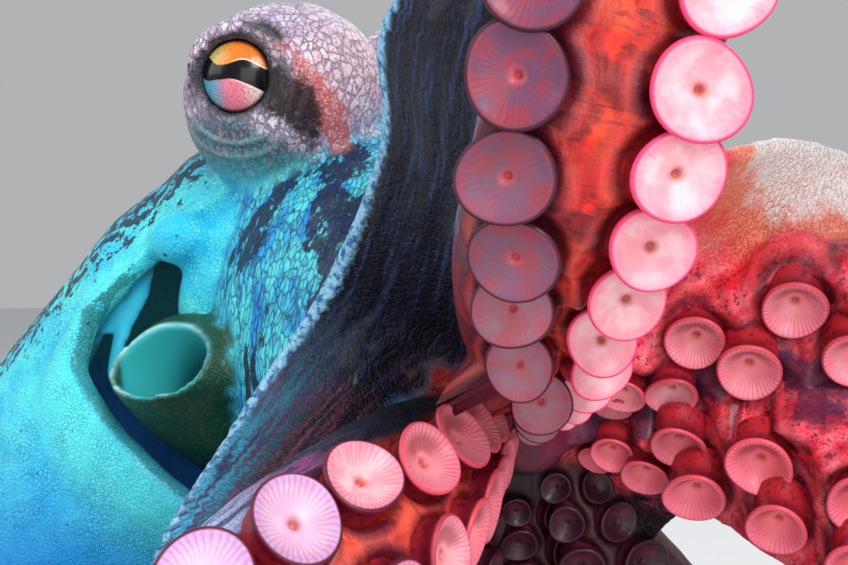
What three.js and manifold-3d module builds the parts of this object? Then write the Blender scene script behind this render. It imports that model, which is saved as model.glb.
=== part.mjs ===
// A common octopus, life size, as a still museum model: mantle, head, eyes, funnel, eight arms and their web.
// Millimetres, +Z up, standing on z = 0. The body points along +X, and its right side is -Y.
import * as THREE from "three";
import { mergeVertices } from "three/addons/utils/BufferGeometryUtils.js";
import Module from "manifold-3d";

const wasm = await Module();
wasm.setup();

// ---------------------------------------------------------------- driving dimensions

const GAP = 0.3; // clearance between neighbouring solids
const SLIVER = 0.06; // a cut surface is smoothed by no more than this
const FLOOR_BOX = 2000; // side of the block that levels the underside

const HEAD_CENTRE = [0, 0, 150];
const MOUTH_CENTRE = [57.6, -22.5, 88];
const EYE_MOUND_Y = 20; // eye mounds stand this far to each side of the middle
const EYE_MOUND_Z = 152.6;
const EYE_MOUND_RADII = [20, 19, 18.5];
const EYE_RADIUS = 9.3;
const EYE_OUT = 11.5; // eyeball centre, out from the mound's centre
const EYE_AXIS = [0.02, 0.97, 0.23]; // for the left eye; the right eye mirrors it in Y

const MANTLE_START = [-6, 0, 116]; // where the mantle's axis leaves the neck
const MANTLE_SLOPE_DEG = 44; // the sac hangs down and back
const MANTLE_LENGTH = 148;
const MANTLE_WALL = 5;
const MANTLE_TIP_RING = 2.5; // the last ring stands this far before the pointed end
const CAVITY_DEPTH = 60;
const CAVITY_NARROWING = 16; // the wall is this much thicker at the cavity's bottom

const ARM_LENGTHS = { 1: 470, 2: 520, 3: 530, 4: 500 }; // by pair, from the back (dorsal) pair down
const ARM_BASE_HALF_WIDTH = 18.5;
const ARM_TIP_HALF_WIDTH = 1.3;
const ARM_TAPER_POWER = 1.15;
const NARROW_AT_MOUTH = 0.25; // share of its width that an arm starts with
const THIN_AT_MOUTH = 0.55; // and of its thickness
const FULL_SIZE_AT = 72; // distance by which it has both in full
const ARM_FLATNESS = 0.84; // thickness over width
const ARM_SIDES = 6;
const ARM_CORNERS = 1.07; // corners stand out this far, so that the section keeps the area of its oval
const FLAT_SIDE = ARM_CORNERS * Math.cos(Math.PI / ARM_SIDES);
const FLOOR_SINK = 0.5; // cut off underneath, as a small flat

const SUCKER_MAX_RADIUS = 6.9;
const SUCKER_SIDES = 5;
const SUCKER_TILT_DEG = 20;
const SUCKER_LIFT = 0.5; // how far a leaning sucker moves up and back, in radii
const SUCKER_HEIGHT = 1.08; // above its seat, as a share of the radius
const SUCKER_FOOT = 0.7; // its radius under the skin, as a share of the rim's
const SUCKER_FOOT_DEPTH = 2;
const SUCKERS_FROM = 12; // distance of the first
const SUCKERS_END = 6; // distance of the last from the tip
const LARGEST_SUCKER_AT = 95;
const FIRST_SOLID_SUCKER = 54; // solid suckers start this far out
const SOLID_SUCKERS_PER_ARM = 7;
const WEB_REACH = 112; // how far out along the arms the web runs
const WEB_THICKNESS = 2.6;
const WEB_INNER_EDGE = 14; // distance along its arms at which the web begins

// ---------------------------------------------------------------- small vector helpers

const vec = (p) => new THREE.Vector3(...p);
const mix = (a, b, t) => a + (b - a) * t;
const smooth = (x, lo, hi) => THREE.MathUtils.smoothstep(x, lo, hi);
const radians = THREE.MathUtils.degToRad;
const onLine = (from, direction, distance) => from.clone().addScaledVector(direction, distance);

// A value read off a list of [position, value] knots, eased from each knot to the next.
function readOff(knots, at) {
  const next = knots.findIndex(([position]) => position > at);
  if (next === -1) return knots.at(-1)[1];
  if (next === 0) return knots[0][1];
  const [p0, v0] = knots[next - 1];
  const [p1, v1] = knots[next];
  const t = (at - p0) / (p1 - p0);
  return mix(v0, v1, t * t * (3 - 2 * t));
}

// ---------------------------------------------------------------- solids from rings

// A closed geometry whose skin passes through equal rings of points, closed by a point at each end.
function geometryOfRings(rings, firstPole, lastPole) {
  const sides = rings[0].length;
  const points = [firstPole, ...rings.flat(), lastPole];
  const index = [];
  const at = (ring, side) => 1 + ring * sides + (side % sides);
  const last = points.length - 1;
  for (let side = 0; side < sides; side++) {
    index.push(0, at(0, side + 1), at(0, side));
    index.push(last, at(rings.length - 1, side), at(rings.length - 1, side + 1));
    for (let ring = 0; ring + 1 < rings.length; ring++) {
      const corners = [at(ring, side), at(ring, side + 1), at(ring + 1, side + 1), at(ring + 1, side)];
      index.push(corners[0], corners[1], corners[2], corners[0], corners[2], corners[3]);
    }
  }
  return new THREE.BufferGeometry().setFromPoints(points).setIndex(index);
}

function solidOf(geometry) {
  const bare = geometry.clone();
  bare.deleteAttribute("normal");
  bare.deleteAttribute("uv");
  const merged = mergeVertices(bare, 1e-4);
  const index = new Uint32Array(merged.index.array);
  const vertProperties = merged.attributes.position.array;
  const made = new wasm.Manifold(new wasm.Mesh({ numProp: 3, vertProperties, triVerts: index }));
  if (made.volume() > 0) return made;
  for (let i = 0; i < index.length; i += 3) [index[i + 1], index[i + 2]] = [index[i + 2], index[i + 1]];
  return new wasm.Manifold(new wasm.Mesh({ numProp: 3, vertProperties, triVerts: index }));
}

const mean = (points) => points.reduce((sum, p) => sum.add(p), vec([0, 0, 0])).divideScalar(points.length);
const solidOfRings = (rings) => solidOf(geometryOfRings(rings, mean(rings[0]), mean(rings.at(-1))));

function geometryOfSolid(solid) {
  const mesh = solid.getMesh();
  const points = [];
  for (let i = 0; i < mesh.numVert; i++) {
    const start = i * mesh.numProp;
    points.push(...mesh.vertProperties.slice(start, start + 3));
  }
  const geometry = new THREE.BufferGeometry();
  geometry.setAttribute("position", new THREE.Float32BufferAttribute(points, 3));
  geometry.setIndex(new THREE.BufferAttribute(mesh.triVerts, 1));
  geometry.computeVertexNormals();
  return geometry;
}

// The largest of the bodies that a cut leaves.
const largestBody = (solid) => solid.decompose().sort((a, b) => b.volume() - a.volume())[0];

// ---------------------------------------------------------------- the crown of arms

const MOUTH = vec(MOUTH_CENTRE);
const CROWN_AXIS = MOUTH.clone().sub(vec(HEAD_CENTRE)).normalize(); // out of the mouth
const CROWN_TOP = onLine(vec([0, 0, 1]), CROWN_AXIS, -CROWN_AXIS.z).normalize();
const CROWN_RIGHT = CROWN_AXIS.clone().cross(CROWN_TOP).normalize();
const ARM_SPREAD_DEG = 45;

// The way an arm leaves the mouth: pair 1 is beside the top of the crown, pair 4 beside its underside.
function armDirection(side, pair) {
  const angle = radians(ARM_SPREAD_DEG * (pair - 0.5));
  const sideways = side === "r" ? 1 : -1;
  const up = CROWN_TOP.clone().multiplyScalar(Math.cos(angle));
  return onLine(up, CROWN_RIGHT, sideways * Math.sin(angle));
}

// ---------------------------------------------------------------- arm routes

// The ways that the sucker side of an arm can face.
const FACING = {
  mouth: CROWN_AXIS,
  down: vec([0, 0, -1]),
  front: vec([0.574, -0.819, 0]),
  frontLow: vec([0.5, -0.7, -0.5]).normalize(),
  frontLevel: vec([0.55, -0.8, 0.05]).normalize(),
  frontUnder: vec([0.55, -0.8, -0.15]).normalize(),
  right: vec([0.99, 0.08, 0.1]).normalize(),
  rightFront: vec([0.89, -0.38, 0.25]).normalize(),
};

// Each arm's centre line after it leaves the crown, as [x, y, z, facing], then the bend of its curled tip.
const ARMS = {
  r1: {
    route: [
      [61, -31, 101, "mouth"], [73, -47, 109, "mouth"], [84, -62, 117, "frontLow"], [94, -74, 126, "front"],
      [101, -81, 138, "front"], [106, -82, 156, "front"], [111, -79, 181, "front"], [121, -68, 208, "front"],
      [139, -50, 227, "front"], [161, -34, 225, "front"],
    ],
    curl: { towards: [0.1, 0.1, -1], from: 33, to: 13 },
  },
  r2: {
    route: [
      [53, -40, 93, "right"], [57, -56, 89, "right"], [61, -70, 85, "right"], [62, -84, 79, "rightFront"],
      [58, -98, 71, "rightFront"], [50, -112, 59, "rightFront"],
      [40, -127, 41, "frontLow"], [27, -140, 24, "down"],
      [3, -150, 15, "down"], [-32, -162, 14, "down"], [-68, -180, 14, "down"],
    ],
    curl: { towards: [-0.4, -1, 0], from: 62, to: 9 },
  },
  r3: {
    route: [
      [36, -46, 76, "mouth"], [22, -66, 52, "mouth"], [3, -84, 27, "down"], [-26, -98, 15, "down"],
      [-64, -102, 14, "down"], [-104, -94, 14, "down"], [-142, -82, 14, "down"],
    ],
    curl: { towards: [0, -1, 0], from: 52, to: 9 },
  },
  r4: {
    route: [
      [36, -27, 62, "mouth"], [24, -40, 38, "mouth"], [4, -53, 20, "down"], [-28, -62, 14, "down"],
      [-62, -64, 14, "down"], [-96, -58, 14, "down"], [-128, -42, 14, "down"],
    ],
    curl: { towards: [0.2, 1, 0], from: 60, to: 9 },
  },
  l1: {
    route: [
      [68, -14, 103, "mouth"], [83, -10, 107, "frontLevel"], [98, -6, 110, "frontLevel"],
      [115, 1, 110, "frontLevel"], [132, 11, 100, "frontLevel"],
      [146, 26, 76, "down"], [155, 46, 46, "down"], [160, 70, 24, "down"],
      [158, 100, 14, "down"], [144, 132, 14, "down"],
    ],
    curl: { towards: [1, 0.1, 0], from: 60, to: 9 },
  },
  l2: {
    route: [
      [65, -10, 93, "mouth"], [81, -9, 91, "frontUnder"], [98, -9, 87, "frontUnder"],
      [116, -8, 79, "frontUnder"], [134, -7, 64, "frontUnder"],
      [150, -8, 42, "down"], [168, -14, 23, "down"], [194, -26, 14, "down"],
      [226, -38, 14, "down"], [258, -36, 14, "down"],
    ],
    curl: { towards: [0, 1, 0], from: 60, to: 9 },
  },
  l3: {
    route: [
      [56, -1, 72, "mouth"], [60, 19, 49, "mouth"], [71, 44, 28, "down"], [90, 76, 16, "down"],
      [94, 112, 14, "down"], [80, 148, 14, "down"], [54, 176, 14, "down"],
    ],
    curl: { towards: [1, 1, 0], from: 70, to: 9 },
  },
  l4: {
    route: [
      [42, 2, 60, "mouth"], [30, 22, 38, "mouth"], [10, 44, 21, "down"], [-18, 62, 14, "down"],
      [-54, 74, 14, "down"], [-92, 76, 14, "down"], [-130, 84, 14, "down"],
    ],
    curl: { towards: [0, 1, 0], from: 70, to: 9 },
  },
};

// How suckers stand along an arm, each quantity as [distance, value] knots.
const EVEN_ROWS = {
  pitch: [[0, 1.01]], // step from one row to the other, as a share of the sucker's radius
  scale: [[0, 1]], // of the radius itself
  out: { 1: [[30, 0.95], [72, 1.38]], "-1": [[30, 0.95], [72, 1.38]] }, // from the middle, in radii
  lead: [[0, 0]], // the second row stands further out along the arm by this, in radii
  seat: [[0, 0.6]], // how deep the foot stands, as a share of the arm's half thickness
  share: [[0, 0]], // how far the suckers turn towards the look
  look: [0, 0, 0],
  firstRowSize: 1,
};
const BELOW_FRONT = [0.27, -0.66, -0.7];
const SUCKER_ROWS = {
  r1: {
    pitch: [[12, 1.2], [40, 1.65], [56, 1.3], [70, 0.68], [84, 0.65], [90, 0.7], [98, 0.92], [190, 1.01]],
    out: {
      1: [[30, 0.8], [58, 1.05], [71, 1.28], [81, 1.44], [95, 1.56], [130, 1.7], [190, 1.38]],
      "-1": [[30, 0.8], [60, 0.98], [72, 1.1], [84, 1.5], [110, 1.58], [190, 1.38]],
    },
    lead: [[40, -0.6], [60, -0.2], [76, 0.05], [84, 0.3], [94, 0.45], [120, 0.45], [180, 0]],
    share: [[58, 0.65], [84, 0.28], [120, 0.2], [190, 0]],
    look: [0.5, -0.86, 0.1],
    firstRowSize: 0.94,
  },
  r2: {
    pitch: [[12, 0.9], [50, 0.86], [120, 0.92], [190, 1.01]],
    scale: [[12, 1.1], [120, 1.1], [180, 1]],
    out: { 1: EVEN_ROWS.out[1], "-1": [[30, 0.62], [72, 0.8], [130, 1], [190, 1.38]] },
  },
  l1: {
    pitch: [[12, 1.5], [60, 1.58], [130, 1.3], [190, 1.01]],
    scale: [[12, 1.17], [44, 1.08], [60, 1], [180, 1]],
    out: {
      1: [[30, 0.44], [72, 0.64], [130, 0.64], [190, 1.38]],
      "-1": [[30, 0.44], [44, 0.84], [72, 0.74], [130, 0.64], [190, 1.38]],
    },
    lead: [[18, -0.55], [28, 0]],
    seat: [[130, 0.42], [190, 0.6]],
    share: [[40, 0.8], [68, 0.72], [104, 0]],
    look: BELOW_FRONT,
  },
  l2: {
    pitch: [[12, 1.2], [20, 1.25], [32, 1.56], [60, 1.58], [130, 1.3], [190, 1.01]],
    scale: [[12, 1.2], [28, 1.12], [60, 0.97], [180, 1]],
    out: {
      1: [[24, 0.6], [32, 0.95], [49, 1.12], [72, 1.2], [130, 0.9], [190, 1.38]],
      "-1": [[28, 0.38], [44, 0.16], [60, 0.3], [130, 0.55], [190, 1.38]],
    },
    lead: [[16, -0.3], [28, 0.55], [110, 0.55], [180, 0]],
    seat: [[130, 0.4], [190, 0.6]],
    share: [[40, 0.8], [66, 0.72], [96, 0]],
    look: BELOW_FRONT,
  },
};

const ROOT_START = 9; // arms start this far out from the middle of the mouth
const ROOT_DEPTH = 13; // and this far behind the lips
const CURVE_STEPS = 12; // straight steps in each stretch between two route points
const CURL_STEP = 2;
const RING_STEP = { thin: 11, thick: 24 }; // between the rings of an arm's solid
const LYING_HEIGHT = 15; // route points at this height or less lie on the floor
const CLEAR_HEIGHT = 60; // and from this height up they are taken as they are

// A smooth line through the route points, with the sucker side's facing carried along it.
function armLine(name) {
  const [side, pair] = [name[0], Number(name[1])];
  const start = onLine(onLine(MOUTH, armDirection(side, pair), ROOT_START), CROWN_AXIS, -ROOT_DEPTH);
  const { route, curl } = ARMS[name];
  const curve = new THREE.CatmullRomCurve3([start, ...route.map((p) => vec(p))], false, "catmullrom", 0.5);
  const facings = [CROWN_AXIS, ...route.map((p) => FACING[p[3]])];
  const line = [];
  const steps = route.length * CURVE_STEPS;
  for (let i = 0; i <= steps; i++) {
    const knot = Math.min(Math.floor(i / CURVE_STEPS), route.length - 1);
    const facing = facings[knot].clone().lerp(facings[knot + 1], i / CURVE_STEPS - knot);
    line.push({ centre: curve.getPoint(i / steps), facing });
  }
  let length = 0;
  for (let i = 1; i < line.length; i++) length += line[i].centre.distanceTo(line[i - 1].centre);
  const heading = line.at(-1).centre.clone().sub(line.at(-2).centre).normalize();
  const inwards = onLine(vec(curl.towards), heading, -heading.dot(vec(curl.towards))).normalize();
  const curlLength = ARM_LENGTHS[pair] - length;
  const facing = facings.at(-1);
  let angle = 0;
  let centre = line.at(-1).centre;
  for (let done = 0; done < curlLength; done += CURL_STEP) {
    angle += CURL_STEP / mix(curl.from, curl.to, done / curlLength);
    const way = heading.clone().multiplyScalar(Math.cos(angle)).addScaledVector(inwards, Math.sin(angle));
    centre = onLine(centre, way, CURL_STEP);
    line.push({ centre, facing });
  }
  return line;
}

// Reads an arm at a distance from its start: centre, tangent, the sucker side and the arm's own side.
class Arm {
  constructor(name) {
    this.name = name;
    this.line = armLine(name);
    this.rows = { ...EVEN_ROWS, ...SUCKER_ROWS[name] };
    this.along = [0];
    for (let i = 1; i < this.line.length; i++)
      this.along.push(this.along[i - 1] + this.line[i].centre.distanceTo(this.line[i - 1].centre));
    this.length = this.along.at(-1);
    for (const [i, { centre }] of this.line.entries()) {
      const height = Math.max(LYING_HEIGHT, centre.z);
      const lying = this.halfDepth(this.along[i]) * FLAT_SIDE - FLOOR_SINK;
      centre.z = height + (lying - LYING_HEIGHT) * (1 - smooth(height, LYING_HEIGHT, CLEAR_HEIGHT));
    }
    const last = this.line.length - 1;
    for (const [i, spot] of this.line.entries()) {
      const [before, after] = [this.line[Math.max(i - 1, 0)], this.line[Math.min(i + 1, last)]];
      spot.tangent = after.centre.clone().sub(before.centre).normalize();
    }
  }

  at(distance) {
    const d = THREE.MathUtils.clamp(distance, 0, this.length);
    let i = this.along.findIndex((x) => x >= d);
    i = Math.max(i, 1);
    const t = (d - this.along[i - 1]) / (this.along[i] - this.along[i - 1]);
    const [a, b] = [this.line[i - 1], this.line[i]];
    const centre = a.centre.clone().lerp(b.centre, t);
    const tangent = a.tangent.clone().lerp(b.tangent, t).normalize();
    const facing = a.facing.clone().lerp(b.facing, t);
    const oral = onLine(facing, tangent, -facing.dot(tangent)).normalize();
    const side = tangent.clone().cross(oral);
    return { centre, tangent, oral, side };
  }

  // An even taper to the tip.
  taper(distance) {
    const left = 1 - THREE.MathUtils.clamp(distance / this.length, 0, 1);
    return mix(ARM_TIP_HALF_WIDTH, ARM_BASE_HALF_WIDTH, Math.pow(left, ARM_TAPER_POWER));
  }

  // Narrow beside the mouth, where eight arms share the way round.
  halfWidth(distance) {
    return this.taper(distance) * mix(NARROW_AT_MOUTH, 1, smooth(distance, -14, FULL_SIZE_AT));
  }

  halfDepth(distance) {
    return this.taper(distance) * ARM_FLATNESS * mix(THIN_AT_MOUTH, 1, smooth(distance, 0, FULL_SIZE_AT));
  }

  ring(distance, grow) {
    const { centre, oral, side } = this.at(distance);
    const width = this.halfWidth(distance) * ARM_CORNERS + grow / FLAT_SIDE;
    const depth = this.halfDepth(distance) * ARM_CORNERS + grow / FLAT_SIDE;
    return Array.from({ length: ARM_SIDES }, (_, k) => {
      const angle = (2 * Math.PI * k) / ARM_SIDES;
      return onLine(onLine(centre, side, width * Math.cos(angle)), oral, depth * Math.sin(angle));
    });
  }

  // The tube from one distance to another, with rings closer together where the arm is thin.
  tube(from, to, grow = 0) {
    const stops = [from];
    while (stops.at(-1) < to) {
      const step = mix(RING_STEP.thin, RING_STEP.thick, smooth(this.taper(stops.at(-1)), 3, 14));
      const left = to - stops.at(-1);
      stops.push(left < step * 1.5 ? to : stops.at(-1) + step);
    }
    stops[0] -= grow;
    stops[stops.length - 1] += grow;
    return solidOfRings(stops.map((d) => this.ring(d, grow)));
  }

  // Two alternating rows of suckers: small by the mouth, largest by the web's edge, tiny at the tip.
  suckers() {
    const { pitch, scale, lead, firstRowSize } = this.rows;
    const spots = [];
    let base = SUCKERS_FROM;
    let row = 1;
    while (base < this.length - SUCKERS_END) {
      const radius = suckerRadius(base, this.length) * readOff(scale, base);
      if (row > 0) spots.push({ distance: base, row, radius: radius * firstRowSize });
      else spots.push({ distance: base + readOff(lead, base) * radius, row, radius });
      base += radius * readOff(pitch, base);
      row = -row;
    }
    return spots;
  }

  suckerFrame({ distance, row, radius }) {
    const { out, seat: depth, share, look } = this.rows;
    const { centre, oral, side } = this.at(distance);
    const tilt = radians(SUCKER_TILT_DEG) * row;
    const upright = oral.clone().multiplyScalar(Math.cos(tilt)).addScaledVector(side, Math.sin(tilt));
    const normal = upright.clone().lerp(vec(look), readOff(share, distance)).normalize();
    const offset = row * radius * readOff(out[row], distance);
    const lift = upright.clone().cross(normal).length() * radius * SUCKER_LIFT;
    const sunk = this.halfDepth(distance) * readOff(depth, distance);
    const seat = onLine(onLine(onLine(centre, side, offset), oral, sunk), upright, lift);
    return { seat: onLine(seat, normal, -lift), normal };
  }

  suckerSolid(spot, grow = 0) {
    const { seat, normal } = this.suckerFrame(spot);
    const turn = new THREE.Quaternion().setFromUnitVectors(vec([0, 0, 1]), normal);
    const heights = [-SUCKER_FOOT_DEPTH - grow, spot.radius * SUCKER_HEIGHT + grow];
    const rings = [[heights[0], SUCKER_FOOT], [heights[1], 1]].map(([height, share]) =>
      Array.from({ length: SUCKER_SIDES }, (_, k) => {
        const angle = (2 * Math.PI * k) / SUCKER_SIDES;
        const out = spot.radius * share + grow;
        return vec([out * Math.cos(angle), out * Math.sin(angle), height]).applyQuaternion(turn).add(seat);
      }),
    );
    return solidOfRings(rings);
  }
}

function suckerRadius(distance, length) {
  const growing = 0.3 + 0.42 * smooth(distance, 0, 40) + 0.28 * smooth(distance, 45, 105);
  const past = Math.max(0, distance - LARGEST_SUCKER_AT);
  const shrinking = Math.pow(1 - past / (length - LARGEST_SUCKER_AT), 1.1);
  return Math.max(0.4, SUCKER_MAX_RADIUS * growing * shrinking);
}

// ---------------------------------------------------------------- web

// Webs that reach less or more far out than the rest, and the points that a wide free edge runs by.
const WEB_EDGES = {
  l3_l2: { reach: [48, 48] },
  r1_r2: {
    reach: [150, 118],
    by: [[68, -77, 160], [58, -68, 140], [40, -59, 118], [27, -65, 96], [34, -90, 80]],
  },
  l1_r1: { reach: [104, 104], by: [[107, 12, 133], [100, -11, 141], [98, -48, 138]] },
};

const WEB_EDGE_DIP = 0.66; // the free edge dips in towards the mouth between its arms
const WEB_ROWS = 3;
const WEB_COLUMNS = 9;

// A web is ruled from an inner edge, in along one arm and out along the next, to its free edge.
class Web {
  constructor(first, second) {
    this.arms = [first, second];
    const { reach = [WEB_REACH, WEB_REACH], by = null } = WEB_EDGES[`${first.name}_${second.name}`] ?? {};
    this.reach = reach;
    const [start, end] = this.arms.map((arm, i) => arm.at(reach[i]).centre);
    const [near, far] = this.arms.map((arm, i) => arm.at(reach[i] * WEB_EDGE_DIP).centre);
    this.edge = by
      ? new THREE.CatmullRomCurve3([start, ...by.map((p) => vec(p)), end], false, "catmullrom", 0.5)
      : new THREE.CubicBezierCurve3(start, near, far, end);
  }

  point(along, out) {
    const which = along < 0.5 ? 0 : 1;
    const inner = this.arms[which].at(mix(WEB_INNER_EDGE, this.reach[which], Math.abs(2 * along - 1))).centre;
    return inner.lerp(this.edge.getPoint(along), out);
  }

  solid() {
    const rings = Array.from({ length: WEB_COLUMNS + 1 }, (_, j) => {
      const along = mix(0.02, 0.98, j / WEB_COLUMNS);
      const outs = Array.from({ length: WEB_ROWS + 1 }, (_, i) => i / WEB_ROWS);
      const step = 0.02;
      const normals = outs.map((out) => {
        const outward = this.point(along, out + step).sub(this.point(along, out - step));
        const onward = this.point(along + step, out).sub(this.point(along - step, out));
        return outward.cross(onward).normalize();
      });
      const sheet = (offset) => outs.map((out, i) => onLine(this.point(along, out), normals[i], offset));
      return [...sheet(WEB_THICKNESS / 2), ...sheet(-WEB_THICKNESS / 2).reverse()];
    });
    return solidOfRings(rings);
  }
}

// ---------------------------------------------------------------- lofts along a bent line

// A body whose round or oval section changes along a line: knots are [x, y, z, half width, half height].
function loft(knots, { sides = 20, steps = 14, up = [0, 0, 1], grow = 0 } = {}) {
  const curve = new THREE.CatmullRomCurve3(knots.map((k) => vec(k)), false, "catmullrom", 0.5);
  const widths = knots.map((k, i) => [i / (knots.length - 1), k[3]]);
  const heights = knots.map((k, i) => [i / (knots.length - 1), k[4]]);
  const rings = [];
  for (let i = 0; i <= steps; i++) {
    const t = i / steps;
    const tangent = curve.getTangent(t);
    const across = vec(up).cross(tangent).normalize();
    const upright = tangent.clone().cross(across);
    const centre = curve.getPoint(t);
    rings.push(
      Array.from({ length: sides }, (_, k) => {
        const angle = (2 * Math.PI * k) / sides;
        const a = (readOff(widths, t) + grow) * Math.cos(angle);
        const b = (readOff(heights, t) + grow) * Math.sin(angle);
        return onLine(onLine(centre, across, a), upright, b);
      }),
    );
  }
  return solidOfRings(rings);
}

function ellipsoid(centre, radii, grow = 0, rings = 7, sides = 11) {
  const shape = new THREE.SphereGeometry(1, sides, rings);
  shape.scale(...radii.map((r) => r + grow)).translate(...centre);
  return solidOf(shape);
}

// ---------------------------------------------------------------- mantle

const MANTLE_AXIS = vec([-Math.cos(radians(MANTLE_SLOPE_DEG)), 0, -Math.sin(radians(MANTLE_SLOPE_DEG))]);
const MANTLE_BACK = vec([-Math.sin(radians(MANTLE_SLOPE_DEG)), 0, Math.cos(radians(MANTLE_SLOPE_DEG))]);
// [distance down the axis, half the sac's size there]
const MANTLE_HALF_WIDTHS = [
  [-22, 25], [0, 35], [21, 42], [55, 46], [88, 44], [112, 39], [128, 32], [140, 21], [148, 6],
];
const MANTLE_HALF_HEIGHTS = [
  [-22, 31], [0, 40], [21, 43], [55, 43], [88, 43], [112, 41.5], [128, 36.5], [140, 25], [148, 7],
];
const EDGE_BEHIND = -21; // the free edge's distance at the back, well forward over the neck
const EDGE_BESIDE = 30; // and at the sides
const EDGE_BELOW = 17; // and underneath
const MANTLE_SIDES = 20;
const MANTLE_RINGS = 7;
const CAVITY_RINGS = 3;

function mantlePoint(distance, angle, inset) {
  const width = Math.max(0, readOff(MANTLE_HALF_WIDTHS, distance) - inset);
  const height = Math.max(0, readOff(MANTLE_HALF_HEIGHTS, distance) - inset);
  const centre = onLine(vec(MANTLE_START), MANTLE_AXIS, distance);
  const upright = onLine(centre, MANTLE_BACK, height * Math.cos(angle));
  return onLine(upright, vec([0, 1, 0]), width * Math.sin(angle));
}

// The free edge steps back at the sides, where the funnel comes out.
function mantleEdge(angle) {
  const fromBack = THREE.MathUtils.radToDeg(Math.min(angle, 2 * Math.PI - angle));
  const beside = mix(EDGE_BEHIND, EDGE_BESIDE, smooth(fromBack, 60, 96));
  return mix(beside, EDGE_BELOW, smooth(fromBack, 130, 180));
}

// A thick-walled sac, open round the neck. With a wall of 0 it is the whole outer form.
function mantleSolid(wall, grow = 0) {
  const turn = (k) => (2 * Math.PI * k) / MANTLE_SIDES;
  const around = (make) => Array.from({ length: MANTLE_SIDES }, (_, k) => make(turn(k)));
  const outside = Array.from({ length: MANTLE_RINGS + 1 }, (_, i) => {
    const eased = 1 - (1 - i / MANTLE_RINGS) ** 1.5; // closer together at the end
    const last = MANTLE_LENGTH - MANTLE_TIP_RING;
    return around((angle) => mantlePoint(mix(mantleEdge(angle), last, eased), angle, -grow));
  });
  const tip = onLine(vec(MANTLE_START), MANTLE_AXIS, MANTLE_LENGTH + grow);
  if (!wall) return solidOf(geometryOfRings(outside, mean(outside[0]), tip));
  const lip = around((angle) => mantlePoint(mantleEdge(angle) - wall / 2, angle, wall / 2));
  const inside = Array.from({ length: CAVITY_RINGS }, (_, i) => {
    const share = i / CAVITY_RINGS;
    const inset = wall + CAVITY_NARROWING * share ** 2;
    return around((angle) => mantlePoint(mix(mantleEdge(angle), CAVITY_DEPTH, share), angle, inset));
  }).reverse();
  const floor = onLine(vec(MANTLE_START), MANTLE_AXIS, CAVITY_DEPTH);
  return solidOf(geometryOfRings([...inside, lip, ...outside], floor, tip));
}

// ---------------------------------------------------------------- head, eyes, funnel and mouth

const HEAD_LINE = [
  [-34, 0, 132, 14, 13], [-16, 0, 134, 22, 18], [1, -1, 131, 28, 27], [14, -7, 114, 32, 39],
  [30, -15, 100, 33, 39], [46, -19, 92, 21, 24],
];
const headSolid = (grow = 0) => loft(HEAD_LINE, { sides: 12, steps: 7, up: [0.3, 0, 1], grow });

const sided = (side, [x, y, z]) => [x, side === "r" ? -y : y, z];
const moundCentre = (side) => sided(side, [0, EYE_MOUND_Y, EYE_MOUND_Z]);
const moundSolid = (side, grow = 0) => ellipsoid(moundCentre(side), EYE_MOUND_RADII, grow);
const eyeCentre = (side) => onLine(vec(moundCentre(side)), vec(sided(side, EYE_AXIS)).normalize(), EYE_OUT);
const EYE_RADII = Array(3).fill(EYE_RADIUS);
const eyeSolid = (side, grow = 0) => ellipsoid(eyeCentre(side).toArray(), EYE_RADII, grow, 8, 10);

const FUNNEL_LINE = [[-3, -2, 76], [-8, -10, 79], [-12, -20, 86], [-13, -31.5, 95], [-10, -43, 104]];
const FUNNEL_RADII = [8.5, 8.5, 8.8, 10, 9.2];
const FUNNEL_BORE = [3.6, 4.6, 7, 7.8]; // the bore stops short of the first place

function funnelSolid(grow = 0) {
  const tube = FUNNEL_LINE.map((p, i) => [...p, FUNNEL_RADII[i], FUNNEL_RADII[i]]);
  const outside = loft(tube, { sides: 10, steps: 5, grow });
  if (grow) return outside;
  const outwards = vec(FUNNEL_LINE.at(-1)).sub(vec(FUNNEL_LINE.at(-2))).normalize();
  const beyond = onLine(vec(FUNNEL_LINE.at(-1)), outwards, 2).toArray();
  const hole = [...FUNNEL_LINE.slice(1, -1), beyond].map((p, i) => [...p, FUNNEL_BORE[i], FUNNEL_BORE[i]]);
  return outside.subtract(loft(hole, { sides: 8, steps: 4 }));
}

const LIP_RADII = [7.5, 7.5, 7.5];
const LIP_DEPTH = 6; // their centre lies this far in from the arms' meeting point
const LIPS = onLine(MOUTH, CROWN_AXIS, -LIP_DEPTH).toArray();
const mouthSolid = (grow = 0) => ellipsoid(LIPS, LIP_RADII, grow, 6, 10);

// ---------------------------------------------------------------- fitting the pieces to each other

const COLOURS = {
  mantle: "#4fb6c9", head: "#7fb3c0", mound: "#9c86a8", eye: "#d98a3c", funnel: "#3c6a58",
  arm: "#c8403c", web: "#5a3440", mouth: "#b8606c",
};

const group = new THREE.Group();
group.name = "octopus";
const placed = []; // the cut-out form of each piece that stands already

// Adds a piece, cut clear of those placed before it; the later ones are cut by its cutter.
function place(name, kind, solid, cutter) {
  let cut = solid;
  for (const other of placed) cut = cut.subtract(other);
  cut = largestBody(cut.subtract(BELOW_FLOOR)).simplify(SLIVER);
  const material = new THREE.MeshStandardMaterial({ color: COLOURS[kind], roughness: 0.55, metalness: 0 });
  const mesh = new THREE.Mesh(geometryOfSolid(cut), material);
  mesh.name = name;
  group.add(mesh);
  if (cutter) placed.push(cutter);
}

const FLOOR_BLOCK = new THREE.BoxGeometry(FLOOR_BOX, FLOOR_BOX, FLOOR_BOX).translate(0, 0, -FLOOR_BOX / 2);
const BELOW_FLOOR = solidOf(FLOOR_BLOCK);

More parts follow.
